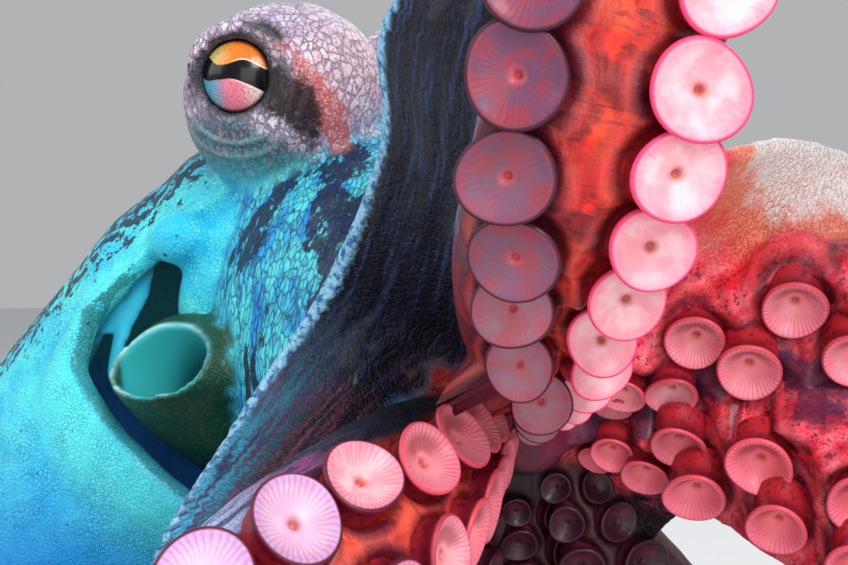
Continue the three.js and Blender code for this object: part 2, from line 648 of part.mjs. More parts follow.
for (const side of ["r", "l"]) place(`eye_${side}`, "eye", eyeSolid(side), eyeSolid(side, GAP));
place("mouth", "mouth", mouthSolid(), mouthSolid(GAP));
place("mantle", "mantle", mantleSolid(MANTLE_WALL), mantleSolid(MANTLE_WALL, GAP));
for (const side of ["r", "l"]) place(`eye_mound_${side}`, "mound", moundSolid(side), moundSolid(side, GAP));
place("head", "head", headSolid(), headSolid(GAP));
place("funnel", "funnel", funnelSolid(), funnelSolid(GAP));

const ORDER = ["l1", "r1", "r2", "r3", "r4", "l4", "l3", "l2"]; // once round the crown
const arms = Object.fromEntries(ORDER.map((name) => [name, new Arm(name)]));
const ARM_CUTS = [0, 0.2, 0.38, 0.56, 0.77, 1]; // where each arm is divided, as shares of its length
const LENGTH_NAMES = ["root", "inner", "middle", "outer", "tip"];

for (const arm of Object.values(arms)) {
  const outer = arm.suckers().filter((spot) => spot.distance > FIRST_SOLID_SUCKER);
  const spots = outer.slice(0, SOLID_SUCKERS_PER_ARM);
  for (const [i, part] of LENGTH_NAMES.entries()) {
    const [from, to] = [ARM_CUTS[i] * arm.length, ARM_CUTS[i + 1] * arm.length - GAP];
    const onPart = spots.filter((spot) => spot.distance > from + 1 && spot.distance < to - 1);
    const made = (tube, grow) => onPart.reduce((sum, spot) => sum.add(arm.suckerSolid(spot, grow)), tube);
    const cutter = made(arm.tube(from, to, GAP), GAP);
    place(`arm_${arm.name}_${part}`, "arm", made(arm.tube(from, to), 0), cutter);
  }
}

ORDER.forEach((name, i) => {
  const next = ORDER[(i + 1) % ORDER.length];
  place(`web_${name}_${next}`, "web", new Web(arms[name], arms[next]).solid(), null);
});

// The frame's origin lies under the middle of the whole model, on the floor.
const bounds = new THREE.Box3().setFromObject(group);
const middle = bounds.getCenter(new THREE.Vector3());
group.position.set(-middle.x, -middle.y, -bounds.min.z);
group.updateMatrixWorld(true);

export default group;
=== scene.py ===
"""A common octopus, life size, as a still museum model: one skin, its suckers and its eyes.

Shapes are worked out in the animal's own millimetres, in which the head stands over the origin, and are moved
into the frame's metres when a mesh is made.
"""

import logging
import math
from dataclasses import dataclass, field
from enum import Enum
from typing import Iterable, Sequence

import bpy
import numpy as np
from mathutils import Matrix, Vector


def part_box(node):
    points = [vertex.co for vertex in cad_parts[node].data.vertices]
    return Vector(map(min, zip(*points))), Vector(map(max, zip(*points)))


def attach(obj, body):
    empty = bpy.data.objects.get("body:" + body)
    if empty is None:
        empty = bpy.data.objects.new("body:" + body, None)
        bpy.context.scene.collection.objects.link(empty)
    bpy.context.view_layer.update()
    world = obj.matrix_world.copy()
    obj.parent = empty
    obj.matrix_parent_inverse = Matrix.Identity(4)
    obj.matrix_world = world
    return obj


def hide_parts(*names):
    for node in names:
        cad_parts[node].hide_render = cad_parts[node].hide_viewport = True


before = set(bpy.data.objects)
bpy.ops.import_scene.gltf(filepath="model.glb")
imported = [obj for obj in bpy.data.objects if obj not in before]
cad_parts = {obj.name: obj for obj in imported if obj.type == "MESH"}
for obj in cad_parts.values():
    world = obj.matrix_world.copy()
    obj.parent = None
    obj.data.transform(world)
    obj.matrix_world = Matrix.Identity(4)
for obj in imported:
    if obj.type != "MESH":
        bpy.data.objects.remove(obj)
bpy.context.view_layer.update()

LOG = logging.getLogger("octopus")
Array = np.ndarray
Vec = tuple[float, float, float]
Colour = tuple[float, float, float]
Socket = bpy.types.NodeSocket
Material = bpy.types.Material
Paint = Socket | Colour
Knots = Sequence[tuple[float, float]]
MM = 0.001
HASH = (73856093, 19349663, 83492791)
HASH_SIZE = 4096

SKIN_NAMES = [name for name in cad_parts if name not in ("eye_r", "eye_l")]


# ------------------------------------------------------------------ small numerical helpers


def unit(vectors: Array | Sequence[float]) -> Array:
    """Vectors scaled to length 1 along their last axis."""
    array = np.asarray(vectors, float)
    return array / np.linalg.norm(array, axis=-1, keepdims=True)


def dot(a: Array, b: Array) -> Array:
    """Dot products along the last axis."""
    return (a * b).sum(axis=-1)


def mix(a: float | Array, b: float | Array, t: float | Array) -> float | Array:
    """Straight blend: a where t is 0, b where t is 1."""
    return a + (b - a) * t


def smooth(x: float | Array, lo: float, hi: float) -> float | Array:
    """Smooth step: 0 below lo, 1 above hi, and t squared times (3 - 2t) between them."""
    t = np.clip((x - lo) / (hi - lo), 0.0, 1.0)
    return t * t * (3.0 - 2.0 * t)


def bell(x: Array, centre: float, spread: float) -> Array:
    """A bump of height 1 at centre: e to the minus square of the distance in spreads."""
    return np.exp(-(((x - centre) / spread) ** 2))


def eased(knots: Knots, at: float | Array) -> Array:
    """Reads a value off a list of places and values, with a smooth step from each to the next.

    Args:
        knots: (place, value) pairs in rising order of place.
        at: the places to read at.

    Returns:
        One value for each place.
    """
    places, values = np.array(knots, float).T
    at = np.asarray(at, float)
    i = np.clip(np.searchsorted(places, at, side="right") - 1, 0, len(places) - 2)
    return mix(values[i], values[i + 1], smooth((at - places[i]) / (places[i + 1] - places[i]), 0.0, 1.0))


def catmull_rom(knots: Array, at: Array) -> Array:
    """A smooth curve through knots.

    On each span it is the cubic that meets both knots, with half the chord between a knot's two neighbours as
    its slope there. Past either end the missing neighbour is the mirror of the one inside.

    Args:
        knots: the points, one row each.
        at: places on the curve, where 0 is the first knot and 1 the second.

    Returns:
        One point for each place.
    """
    rows = np.vstack([2 * knots[0] - knots[1], knots, 2 * knots[-1] - knots[-2]])
    span = np.clip(np.floor(at).astype(int), 0, len(knots) - 2)
    f = (at - span)[:, None]
    p0, p1, p2, p3 = (rows[span + k] for k in range(4))
    return (
        (2 * f**3 - 3 * f**2 + 1) * p1
        + (f**3 - 2 * f**2 + f) * (p2 - p0) / 2
        + (3 * f**2 - 2 * f**3) * p2
        + (f**3 - f**2) * (p3 - p1) / 2
    )


def bezier(ends: Sequence[Array], at: Array) -> Array:
    """A cubic Bezier curve with four control points, read at places from 0 to 1."""
    a, b, c, d = ends
    t = at[:, None]
    return (1 - t) ** 3 * a + 3 * (1 - t) ** 2 * t * b + 3 * (1 - t) * t**2 * c + t**3 * d


def lattice_noise(points: Array, cell: float, seed: int) -> Array:
    """Smooth noise from -1 to 1: each corner of a lattice of cells has a fixed random number, and a point takes
    the smooth-stepped blend of its cell's eight corners.

    Args:
        points: the places, one row each.
        cell: the side of a cell, in the points' unit.
        seed: which noise.

    Returns:
        One number for each point.
    """
    table = np.random.default_rng(seed).uniform(-1.0, 1.0, HASH_SIZE)
    scaled = points / cell
    low = np.floor(scaled).astype(np.int64)
    t = smooth(scaled - low, 0.0, 1.0)
    total = np.zeros(len(points))
    for corner in range(8):
        step = np.array([corner & 1, corner >> 1 & 1, corner >> 2 & 1])
        x, y, z = (low + step).T * np.array(HASH)[:, None]
        value = table[(x ^ y ^ z) & (HASH_SIZE - 1)]
        total += value * np.where(step, t, 1 - t).prod(axis=1)
    return total


def nearest(points: Array, cloud: Array, cell: float = 36.0, margin: float = 18.0) -> Array:
    """The index of the cloud's nearest point for each of the points.

    The points are sorted into cubic cells, and each cell's points are compared with the part of the cloud that
    lies inside the cell or within a margin of it.

    Args:
        points: the places asked about.
        cloud: the places to choose from.
        cell: the cells' side.
        margin: how far outside its cell a point's neighbour is looked for.

    Returns:
        One index into the cloud for each point.
    """
    boxes, box_of = np.unique(np.floor(points / cell).astype(int), axis=0, return_inverse=True)
    order = np.argsort(box_of.ravel(), kind="stable")
    ends = np.cumsum(np.bincount(box_of.ravel(), minlength=len(boxes)))
    found = np.empty(len(points), np.int64)
    everything = np.arange(len(cloud))
    for box, start, end in zip(boxes, np.concatenate([[0], ends[:-1]]), ends):
        mine = order[start:end]
        middle = (box + 0.5) * cell
        close = np.flatnonzero((np.abs(cloud - middle) < cell / 2 + margin).all(axis=1))
        close = close if len(close) else everything
        offered = (cloud[close] - middle).astype(np.float32)
        part = (points[mine] - middle).astype(np.float32)
        found[mine] = close[((offered**2).sum(axis=1) - 2 * part @ offered.T).argmin(axis=1)]
    return found


# ------------------------------------------------------------------ shells


@dataclass
class Shell:
    """A closed surface: points in millimetres, and its four- and three-sided faces."""

    points: Array
    quads: Array
    tris: Array

    @staticmethod
    def of_rings(rings: Array) -> "Shell":
        """Closes a stack of rings, shaped (rings, sides, 3), with a fan to the middle of each end ring."""
        count, sides = rings.shape[:2]
        poles = np.array([rings[0].mean(axis=0), rings[-1].mean(axis=0)])
        points = np.vstack([rings.reshape(-1, 3), poles])
        ring, side = np.meshgrid(np.arange(count - 1), np.arange(sides), indexing="ij")
        onward = (side + 1) % sides
        a, b = ring * sides + side, ring * sides + onward
        quads = np.stack([a, b, b + sides, a + sides], axis=-1).reshape(-1, 4)
        s, e = np.arange(sides), (np.arange(sides) + 1) % sides
        last = (count - 1) * sides
        first_fan = np.stack([np.full(sides, count * sides), e, s], axis=-1)
        last_fan = np.stack([np.full(sides, count * sides + 1), last + s, last + e], axis=-1)
        shell = Shell(points, quads, np.vstack([first_fan, last_fan]))
        return shell if shell.volume() > 0 else shell.turned()

    @staticmethod
    def joined(shells: Iterable["Shell"]) -> "Shell":
        """All the shells as one list of points and faces."""
        shells = list(shells)
        starts = np.cumsum([0] + [len(shell.points) for shell in shells[:-1]])
        return Shell(
            np.vstack([shell.points for shell in shells]),
            np.vstack([shell.quads + start for shell, start in zip(shells, starts)]),
            np.vstack([shell.tris + start for shell, start in zip(shells, starts)]),
        )

    def volume(self) -> float:
        """The volume held, by adding up the pyramids from the first point to each face."""
        triangles = np.vstack([self.quads[:, [0, 1, 2]], self.quads[:, [0, 2, 3]], self.tris])
        a, b, c = (self.points[triangles[:, k]] - self.points[0] for k in range(3))
        return float(dot(a, np.cross(b, c)).sum() / 6)

    def turned(self) -> "Shell":
        """The same surface with its faces turned round."""
        return Shell(self.points, self.quads[:, ::-1], self.tris[:, ::-1])

    def mesh(self, name: str, scale: float = 1.0, shift: Vec = (0.0, 0.0, 0.0)) -> bpy.types.Mesh:
        """Makes a Blender mesh.

        Args:
            name: the mesh's name.
            scale: what the points are multiplied by, after the shift is added.
            shift: added to each point, in millimetres.

        Returns:
            The mesh, shaded smooth.
        """
        mesh = bpy.data.meshes.new(name)
        corners = np.concatenate([self.quads.ravel(), self.tris.ravel()]).astype(np.int32)
        sizes = np.concatenate([np.full(len(self.quads), 4), np.full(len(self.tris), 3)])
        starts = np.concatenate([[0], np.cumsum(sizes)[:-1]]).astype(np.int32)
        mesh.vertices.add(len(self.points))
        mesh.vertices.foreach_set("co", ((self.points + np.array(shift)) * scale).astype(np.float32).ravel())
        mesh.loops.add(len(corners))
        mesh.loops.foreach_set("vertex_index", corners)
        mesh.polygons.add(len(sizes))
        mesh.polygons.foreach_set("loop_start", starts)
        mesh.polygons.foreach_set("use_smooth", np.ones(len(sizes), bool))
        mesh.update(calc_edges=True)
        mesh.validate()
        return mesh


def rows_of(items: bpy.types.bpy_prop_collection, name: str, width: int, kind: type = np.float32) -> Array:
    """One row of numbers for each item of a mesh's collection."""
    flat = np.empty(len(items) * width, kind)
    items.foreach_get(name, flat)
    return flat.reshape(-1, width)


def points_of(mesh: bpy.types.Mesh) -> Array:
    """A mesh's vertices as rows."""
    return rows_of(mesh.vertices, "co", 3).astype(float)


def normals_of(mesh: bpy.types.Mesh) -> Array:
    """A mesh's vertex normals as rows."""
    return rows_of(mesh.vertices, "normal", 3).astype(float)


def spread(values: Array, edges: Array, times: int) -> Array:
    """Evens out values over a mesh: each time, half of each vertex's value becomes its neighbours' mean.

    Args:
        values: one row, or one number, for each vertex.
        edges: pairs of vertex indices.
        times: how often.

    Returns:
        The evened values, of the same shape.
    """
    columns = values.reshape(len(values), -1).astype(float)
    a, b = edges.T
    degree = np.maximum(np.bincount(a, minlength=len(columns)) + np.bincount(b, minlength=len(columns)), 1)
    for _ in range(times):
        for k in range(columns.shape[1]):
            column = columns[:, k]
            total = np.bincount(a, column[b], len(columns)) + np.bincount(b, column[a], len(columns))
            columns[:, k] = (column + total / degree) / 2
    return columns.reshape(values.shape)


def set_attribute(mesh: bpy.types.Mesh, name: str, values: Array) -> None:
    """Stores one number, or one vector, for each vertex under a name that materials read."""
    kind = "FLOAT" if values.ndim == 1 else "FLOAT_VECTOR"
    key = "value" if values.ndim == 1 else "vector"
    mesh.attributes.new(name, kind, "POINT").data.foreach_set(key, values.astype(np.float32).ravel())


@dataclass
class Placement:
    """Where the animal's own millimetres lie in the frame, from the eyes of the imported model."""

    eyes_middle: Vec = (0.23, 0.0, 155.25)
    shift: Vec = field(init=False)

    def __post_init__(self) -> None:
        """Works out the shift that brings the middle between the eyes to its place in the frame."""
        corners = np.array([corner for node in ("eye_r", "eye_l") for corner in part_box(node)])
        middle = corners.mean(axis=0) / MM
        self.shift = tuple(middle - np.array(self.eyes_middle))

    def metres(self, point: Sequence[float]) -> Vec:
        """A place in the frame."""
        return tuple((np.asarray(point, float) + np.array(self.shift)) * MM)

    def piece(self, name: str, shell: Shell, material: Material) -> bpy.types.Object:
        """Makes an object of a shell, in the frame, with its material."""
        return self.object_of(shell.mesh(name, MM, self.shift), name, material)

    @staticmethod
    def object_of(mesh: bpy.types.Mesh, name: str, material: Material) -> bpy.types.Object:
        """Links a mesh into the scene as an object at the origin."""
        obj = bpy.data.objects.new(name, mesh)
        bpy.context.scene.collection.objects.link(obj)
        mesh.materials.append(material)
        return obj


# ------------------------------------------------------------------ the camera


@dataclass
class Viewpoint:
    """A level camera in front of the animal, to its right."""

    place: Vec = (213.5, -279.5, 118.0)
    azimuth_deg: float = 35.0
    lens: float = 75.0
    sensor: float = 36.0
    picture: tuple[int, int] = (848, 565)

    def build(self, placement: Placement) -> None:
        """Adds the camera and makes it the scene's own."""
        data = bpy.data.cameras.new("viewpoint")
        data.lens, data.sensor_width = self.lens, self.sensor
        data.clip_start, data.clip_end = 0.01, 50.0
        camera = bpy.data.objects.new("viewpoint", data)
        camera.location = placement.metres(self.place)
        camera.rotation_euler = (math.radians(90.0), 0.0, math.radians(self.azimuth_deg))
        bpy.context.scene.collection.objects.link(camera)
        bpy.context.scene.camera = camera

    def across_up_depth(self, points: Array) -> tuple[Array, Array, Array]:
        """Offsets to the right, up and ahead of the camera, in millimetres."""
        turn = math.radians(self.azimuth_deg)
        x, y, z = (points - np.array(self.place)).T
        across = x * math.cos(turn) + y * math.sin(turn)
        return across, z, y * math.cos(turn) - x * math.sin(turn)

    def facing(self, points: Array, normals: Array) -> Array:
        """How squarely normals face the camera: 1 straight at it, -1 away."""
        return dot(unit(np.array(self.place) - points), normals)

    def closeness(self, points: Array) -> Array:
        """1 for a point near the camera inside its picture, falling to 0 outside it and far behind."""
        across, up, depth = self.across_up_depth(points)
        half = self.sensor / 2 / self.lens * np.maximum(depth, 1.0)
        outside = np.maximum(np.abs(across) / half, np.abs(up) / (half * self.picture[1] / self.picture[0]))
        return (1 - smooth(outside, 1.05, 1.5)) * (1 - smooth(depth, 350, 420)) * (depth > 0)


# ------------------------------------------------------------------ the crown and the arms

HEAD_CENTRE = np.array([0.0, 0.0, 150.0])
MOUTH = np.array([57.6, -22.5, 88.0])
CROWN_AXIS = unit(MOUTH - HEAD_CENTRE)
CROWN_TOP = unit(np.array([0.0, 0.0, 1.0]) - CROWN_AXIS * CROWN_AXIS[2])
CROWN_RIGHT = np.cross(CROWN_AXIS, CROWN_TOP)
CORNER = 1.07
FLAT_SIDE = CORNER * math.cos(math.radians(30.0))


class Facing(Enum):
    """The ways in which an arm's sucker side can face."""

    MOUTH = tuple(CROWN_AXIS)
    DOWN = (0.0, 0.0, -1.0)
    FRONT = (0.574, -0.819, 0.0)
    FRONT_LOW = tuple(unit([0.5, -0.7, -0.5]))
    FRONT_LEVEL = tuple(unit([0.55, -0.8, 0.05]))
    FRONT_UNDER = tuple(unit([0.55, -0.8, -0.15]))
    RIGHT = tuple(unit([0.99, 0.08, 0.1]))
    RIGHT_FRONT = tuple(unit([0.89, -0.38, 0.25]))


@dataclass
class Suckers:
    """The suckers of one arm, as arrays with one entry each."""

    distance: Array
    row: Array
    radius: Array
    seat: Array
    normal: Array
    onward: Array
    lean: Array


@dataclass
class Arm:
    """One arm: a tapering limb along a smooth route whose last stretch curls in one plane.

    The centre line is a curve through the route's points, then a spiral whose radius falls from curl_from to
    curl_to. The section is an oval, narrow beside the mouth, whose size falls with the remaining length to the
    power 1.15. Stretches that lie down rest on the floor.
    """

    name: str
    length: float
    route: Sequence[tuple[float, float, float, Facing]]
    curl_towards: Vec
    curl_from: float
    curl_to: float = 9.0
    sucker_pitch: Knots = ((0.0, 1.01), (1.0, 1.01))
    sucker_scale: Knots = ((0.0, 1.0), (1.0, 1.0))
    first_row_out: Knots = ((30.0, 0.95), (72.0, 1.38))
    second_row_out: Knots = ((30.0, 0.95), (72.0, 1.38))
    second_row_lead: Knots = ((0.0, 0.0), (1.0, 0.0))
    sucker_look: Vec = (0.0, 0.0, 0.0)
    look_share: Knots = ((0.0, 0.0), (1.0, 0.0))
    sucker_seat: Knots = ((0.0, 0.6), (1.0, 0.6))
    first_row_size: float = 1.0
    first_sucker: float = 12.0
    largest_sucker: float = 6.9
    largest_sucker_at: float = 95.0
    sucker_tilt_deg: float = 20.0
    sucker_lift: float = 0.5
    root_out: float = 9.0
    root_depth: float = 13.0
    full_size_at: float = 72.0
    base_half_width: float = 18.5
    tip_half_width: float = 1.3
    flatness: float = 0.84
    floor_sink: float = 0.5
    lying_height: float = 15.0
    clear_height: float = 60.0

    def __post_init__(self) -> None:
        """Lays out the centre line: distances, centres, tangents and facings."""
        steps = 24
        knots, facings = self._knots()
        at = np.arange(len(self.route) * steps + 1) / steps
        centres = catmull_rom(knots, at)
        span = np.clip(np.floor(at).astype(int), 0, len(knots) - 2)
        faces = mix(facings[span], facings[span + 1], (at - span)[:, None])
        travelled = np.linalg.norm(np.diff(centres, axis=0), axis=1).sum()
        coil = self._coil(centres[-1], unit(centres[-1] - centres[-2]), self.length - travelled)
        line = np.vstack([centres, coil])
        self.facing = np.vstack([faces, np.repeat(faces[-1:], len(coil), axis=0)])
        self.along = np.concatenate([[0.0], np.cumsum(np.linalg.norm(np.diff(line, axis=0), axis=1))])
        self.length = float(self.along[-1])
        height = np.maximum(self.lying_height, line[:, 2])
        lowered = self.half_depth(self.along) * FLAT_SIDE - self.floor_sink - self.lying_height
        line[:, 2] = height + lowered * (1 - smooth(height, self.lying_height, self.clear_height))
        self.line = line
        padded = np.vstack([line[:1], line, line[-1:]])
        self.tangent = unit(padded[2:] - padded[:-2])

    def _knots(self) -> tuple[Array, Array]:
        """The route's points and facings, with the start beside the mouth before them."""
        side, pair = (1 if self.name[0] == "r" else -1), int(self.name[1])
        angle = math.radians(45 * (pair - 0.5))
        outward = CROWN_TOP * math.cos(angle) + CROWN_RIGHT * side * math.sin(angle)
        start = MOUTH + outward * self.root_out - CROWN_AXIS * self.root_depth
        knots = np.vstack([start, np.array([stop[:3] for stop in self.route], float)])
        return knots, np.vstack([CROWN_AXIS, np.array([stop[3].value for stop in self.route])])

    def _coil(self, start: Array, heading: Array, length: float, step: float = 2.0) -> Array:
        """The curled end: each step turns the heading by the step over the radius that holds there."""
        inwards = unit(np.array(self.curl_towards) - heading * dot(heading, np.array(self.curl_towards)))
        done = np.arange(0, length, step)
        angle = np.cumsum(step / mix(self.curl_from, self.curl_to, done / length))[:, None]
        return start + np.cumsum(step * (heading * np.cos(angle) + inwards * np.sin(angle)), axis=0)

    def taper(self, distance: Array) -> Array:
        """Half the width without the narrowing by the mouth."""
        left = 1 - np.clip(distance / self.length, 0, 1)
        return mix(self.tip_half_width, self.base_half_width, left**1.15)

    def half_width(self, distance: Array) -> Array:
        """Half the width, narrow beside the mouth."""
        return self.taper(distance) * mix(0.25, 1.0, smooth(distance, -14, self.full_size_at))

    def half_depth(self, distance: Array) -> Array:
        """Half the thickness from the back to the sucker side."""
        return self.taper(distance) * self.flatness * mix(0.55, 1.0, smooth(distance, 0, self.full_size_at))

    def at(self, distance: Array) -> tuple[Array, Array, Array, Array]:
        """Centres, tangents, directions to the sucker side and sideways directions at distances."""
        d = np.clip(distance, 0, self.length)
        centre, tangent, facing = (
            np.stack([np.interp(d, self.along, rows[:, k]) for k in range(3)], axis=-1)
            for rows in (self.line, self.tangent, self.facing)
        )
        tangent = unit(tangent)
        oral = unit(facing - tangent * dot(facing, tangent)[..., None])
        return centre, tangent, oral, np.cross(tangent, oral)

    def centre(self, distance: float) -> Array:
        """The centre at one distance."""
        return self.at(np.array([distance]))[0][0]

    def limb(self, sides: int = 40, step: float = 2.2) -> Shell:
        """The arm's flesh: at each distance an oval, half_width sideways and half_depth towards the suckers,
        flattened a little on the sucker side."""
        d = np.linspace(0, self.length - 0.4, int(self.length / step))
        centre, _, oral, side = self.at(d)
        angle = np.arange(sides) * 2 * np.pi / sides
        flat = np.where(np.sin(angle) > 0, 0.94, 1.0)
        out = self.half_width(d)[:, None] * np.cos(angle)
        deep = self.half_depth(d)[:, None] * np.sin(angle) * flat
        tip = np.sqrt(np.clip((self.length - d) / 3.0, 0.02, 1))[:, None]
        around = side[:, None] * (out * tip)[..., None] + oral[:, None] * (deep * tip)[..., None]
        return Shell.of_rings(centre[:, None] + around)

    def suckers(self) -> Suckers:
        """Two alternating rows: small beside the mouth, largest at the web's edge, tiny at the tip."""
        spots = []
        distance, row = self.first_sucker, 1
        while distance < self.length - 6:
            growing = 0.3 + 0.42 * smooth(distance, 0, 40) + 0.28 * smooth(distance, 45, 105)
            past = max(0.0, distance - self.largest_sucker_at)
            shrinking = (1 - past / (self.length - self.largest_sucker_at)) ** 1.1
            scale = float(eased(self.sucker_scale, distance))
            radius = max(0.4, self.largest_sucker * growing * shrinking * scale)
            lead = float(eased(self.second_row_lead, distance)) * radius * (row < 0)
            spots.append((distance + lead, row, radius * (self.first_row_size if row > 0 else 1.0)))
            distance += radius * float(eased(self.sucker_pitch, distance))
            row = -row
        d, rows, radii = np.array(spots).T
        centre, tangent, oral, side = self.at(d)
        tilt = np.radians(self.sucker_tilt_deg) * rows
        normal = oral * np.cos(tilt)[:, None] + side * np.sin(tilt)[:, None]
        out = np.where(rows > 0, eased(self.first_row_out, d), eased(self.second_row_out, d))
        depth = self.half_depth(d) * eased(self.sucker_seat, d)
        seat = centre + side * (rows * radii * out)[:, None] + oral * depth[:, None]
        leaning = unit(mix(normal, np.array(self.sucker_look), eased(self.look_share, d)[:, None]))
        lean = np.linalg.norm(np.cross(normal, leaning), axis=1)
        seat = seat + (normal - leaning) * (lean * radii * self.sucker_lift)[:, None]
        return Suckers(d, rows, radii, seat, leaning, tangent, lean)


F = Facing
BELOW_FRONT = (0.27, -0.66, -0.70)
ARM_LIST = (
    Arm(
        "l1", 470,
        [
            (68, -14, 103, F.MOUTH), (83, -10, 107, F.FRONT_LEVEL), (98, -6, 110, F.FRONT_LEVEL),
            (115, 1, 110, F.FRONT_LEVEL), (132, 11, 100, F.FRONT_LEVEL), (146, 26, 76, F.DOWN),
            (155, 46, 46, F.DOWN), (160, 70, 24, F.DOWN), (158, 100, 14, F.DOWN), (144, 132, 14, F.DOWN),
        ],
        (1, 0.1, 0), 60,
        sucker_pitch=((12, 1.5), (60, 1.58), (130, 1.3), (190, 1.01)),
        sucker_scale=((12, 1.17), (44, 1.08), (60, 1.0), (180, 1.0)),
        first_row_out=((30, 0.44), (72, 0.64), (130, 0.64), (190, 1.38)),
        second_row_out=((30, 0.44), (44, 0.84), (72, 0.74), (130, 0.64), (190, 1.38)),
        second_row_lead=((18, -0.55), (28, 0.0)),
        sucker_seat=((130, 0.42), (190, 0.6)),
        sucker_look=BELOW_FRONT,
        look_share=((40, 0.8), (68, 0.72), (104, 0.0)),
    ),
    Arm(
        "r1", 470,
        [
            (61, -31, 101, F.MOUTH), (73, -47, 109, F.MOUTH), (84, -62, 117, F.FRONT_LOW),
            (94, -74, 126, F.FRONT), (101, -81, 138, F.FRONT), (106, -82, 156, F.FRONT),
            (111, -79, 181, F.FRONT), (121, -68, 208, F.FRONT), (139, -50, 227, F.FRONT),
            (161, -34, 225, F.FRONT),
        ],
        (0.1, 0.1, -1), 33, 13,
        sucker_pitch=(
            (12, 1.2), (40, 1.65), (56, 1.30), (70, 0.68), (84, 0.65), (90, 0.70), (98, 0.92), (190, 1.01),
        ),
        first_row_out=((30, 0.80), (58, 1.05), (71, 1.28), (81, 1.44), (95, 1.56), (130, 1.7), (190, 1.38)),
        second_row_out=((30, 0.80), (60, 0.98), (72, 1.10), (84, 1.50), (110, 1.58), (190, 1.38)),
        second_row_lead=((40, -0.6), (60, -0.2), (76, 0.05), (84, 0.3), (94, 0.45), (120, 0.45), (180, 0.0)),
        first_row_size=0.94,
        sucker_look=(0.5, -0.86, 0.1),
        look_share=((58, 0.65), (84, 0.28), (120, 0.2), (190, 0.0)),
    ),
    Arm(
        "r2", 520,
        [
            (53, -40, 93, F.RIGHT), (57, -56, 89, F.RIGHT), (61, -70, 85, F.RIGHT),
            (62, -84, 79, F.RIGHT_FRONT), (58, -98, 71, F.RIGHT_FRONT), (50, -112, 59, F.RIGHT_FRONT),
            (40, -127, 41, F.FRONT_LOW), (27, -140, 24, F.DOWN), (3, -150, 15, F.DOWN),
            (-32, -162, 14, F.DOWN), (-68, -180, 14, F.DOWN),
        ],
        (-0.4, -1, 0), 62,
        sucker_pitch=((12, 0.90), (50, 0.86), (120, 0.92), (190, 1.01)),
        sucker_scale=((12, 1.10), (120, 1.10), (180, 1.0)),
        second_row_out=((30, 0.62), (72, 0.80), (130, 1.0), (190, 1.38)),
    ),
    Arm(
        "r3", 530,
        [
            (36, -46, 76, F.MOUTH), (22, -66, 52, F.MOUTH), (3, -84, 27, F.DOWN), (-26, -98, 15, F.DOWN),
            (-64, -102, 14, F.DOWN), (-104, -94, 14, F.DOWN), (-142, -82, 14, F.DOWN),
        ],
        (0, -1, 0), 52,
    ),
    Arm(
        "r4", 500,
        [
            (36, -27, 62, F.MOUTH), (24, -40, 38, F.MOUTH), (4, -53, 20, F.DOWN), (-28, -62, 14, F.DOWN),
            (-62, -64, 14, F.DOWN), (-96, -58, 14, F.DOWN), (-128, -42, 14, F.DOWN),
        ],
        (0.2, 1, 0), 60,
    ),
    Arm(
        "l4", 500,
        [
            (42, 2, 60, F.MOUTH), (30, 22, 38, F.MOUTH), (10, 44, 21, F.DOWN), (-18, 62, 14, F.DOWN),
            (-54, 74, 14, F.DOWN), (-92, 76, 14, F.DOWN), (-130, 84, 14, F.DOWN),
        ],
        (0, 1, 0), 70,
    ),
    Arm(
        "l3", 530,
        [
            (56, -1, 72, F.MOUTH), (60, 19, 49, F.MOUTH), (71, 44, 28, F.DOWN), (90, 76, 16, F.DOWN),
            (94, 112, 14, F.DOWN), (80, 148, 14, F.DOWN), (54, 176, 14, F.DOWN),
        ],
        (1, 1, 0), 70,
    ),
    Arm(
        "l2", 520,
        [
            (65, -10, 93, F.MOUTH), (81, -9, 91, F.FRONT_UNDER), (98, -9, 87, F.FRONT_UNDER),
            (116, -8, 79, F.FRONT_UNDER), (134, -7, 64, F.FRONT_UNDER), (150, -8, 42, F.DOWN),
            (168, -14, 23, F.DOWN), (194, -26, 14, F.DOWN), (226, -38, 14, F.DOWN), (258, -36, 14, F.DOWN),
        ],
        (0, 1, 0), 60,
        sucker_pitch=((12, 1.2), (20, 1.25), (32, 1.56), (60, 1.58), (130, 1.3), (190, 1.01)),
        sucker_scale=((12, 1.2), (28, 1.12), (60, 0.97), (180, 1.0)),
        second_row_lead=((16, -0.3), (28, 0.55), (110, 0.55), (180, 0.0)),
        first_row_out=((24, 0.60), (32, 0.95), (49, 1.12), (72, 1.2), (130, 0.9), (190, 1.38)),
        second_row_out=((28, 0.38), (44, 0.16), (60, 0.3), (130, 0.55), (190, 1.38)),
        sucker_seat=((130, 0.40), (190, 0.6)),
        sucker_look=BELOW_FRONT,
        look_share=((40, 0.8), (66, 0.72), (96, 0.0)),
    ),
)
ARMS: dict[str, Arm] = {arm.name: arm for arm in ARM_LIST}


# ------------------------------------------------------------------ the web


@dataclass
class Sheet:
    """A web's middle surface on a grid: points, normals to the mouth's side, slopes and the grid's own numbers."""

    middle: Array
    normal: Array
    onward: Array
    outward: Array
    along: Array
    out: Array


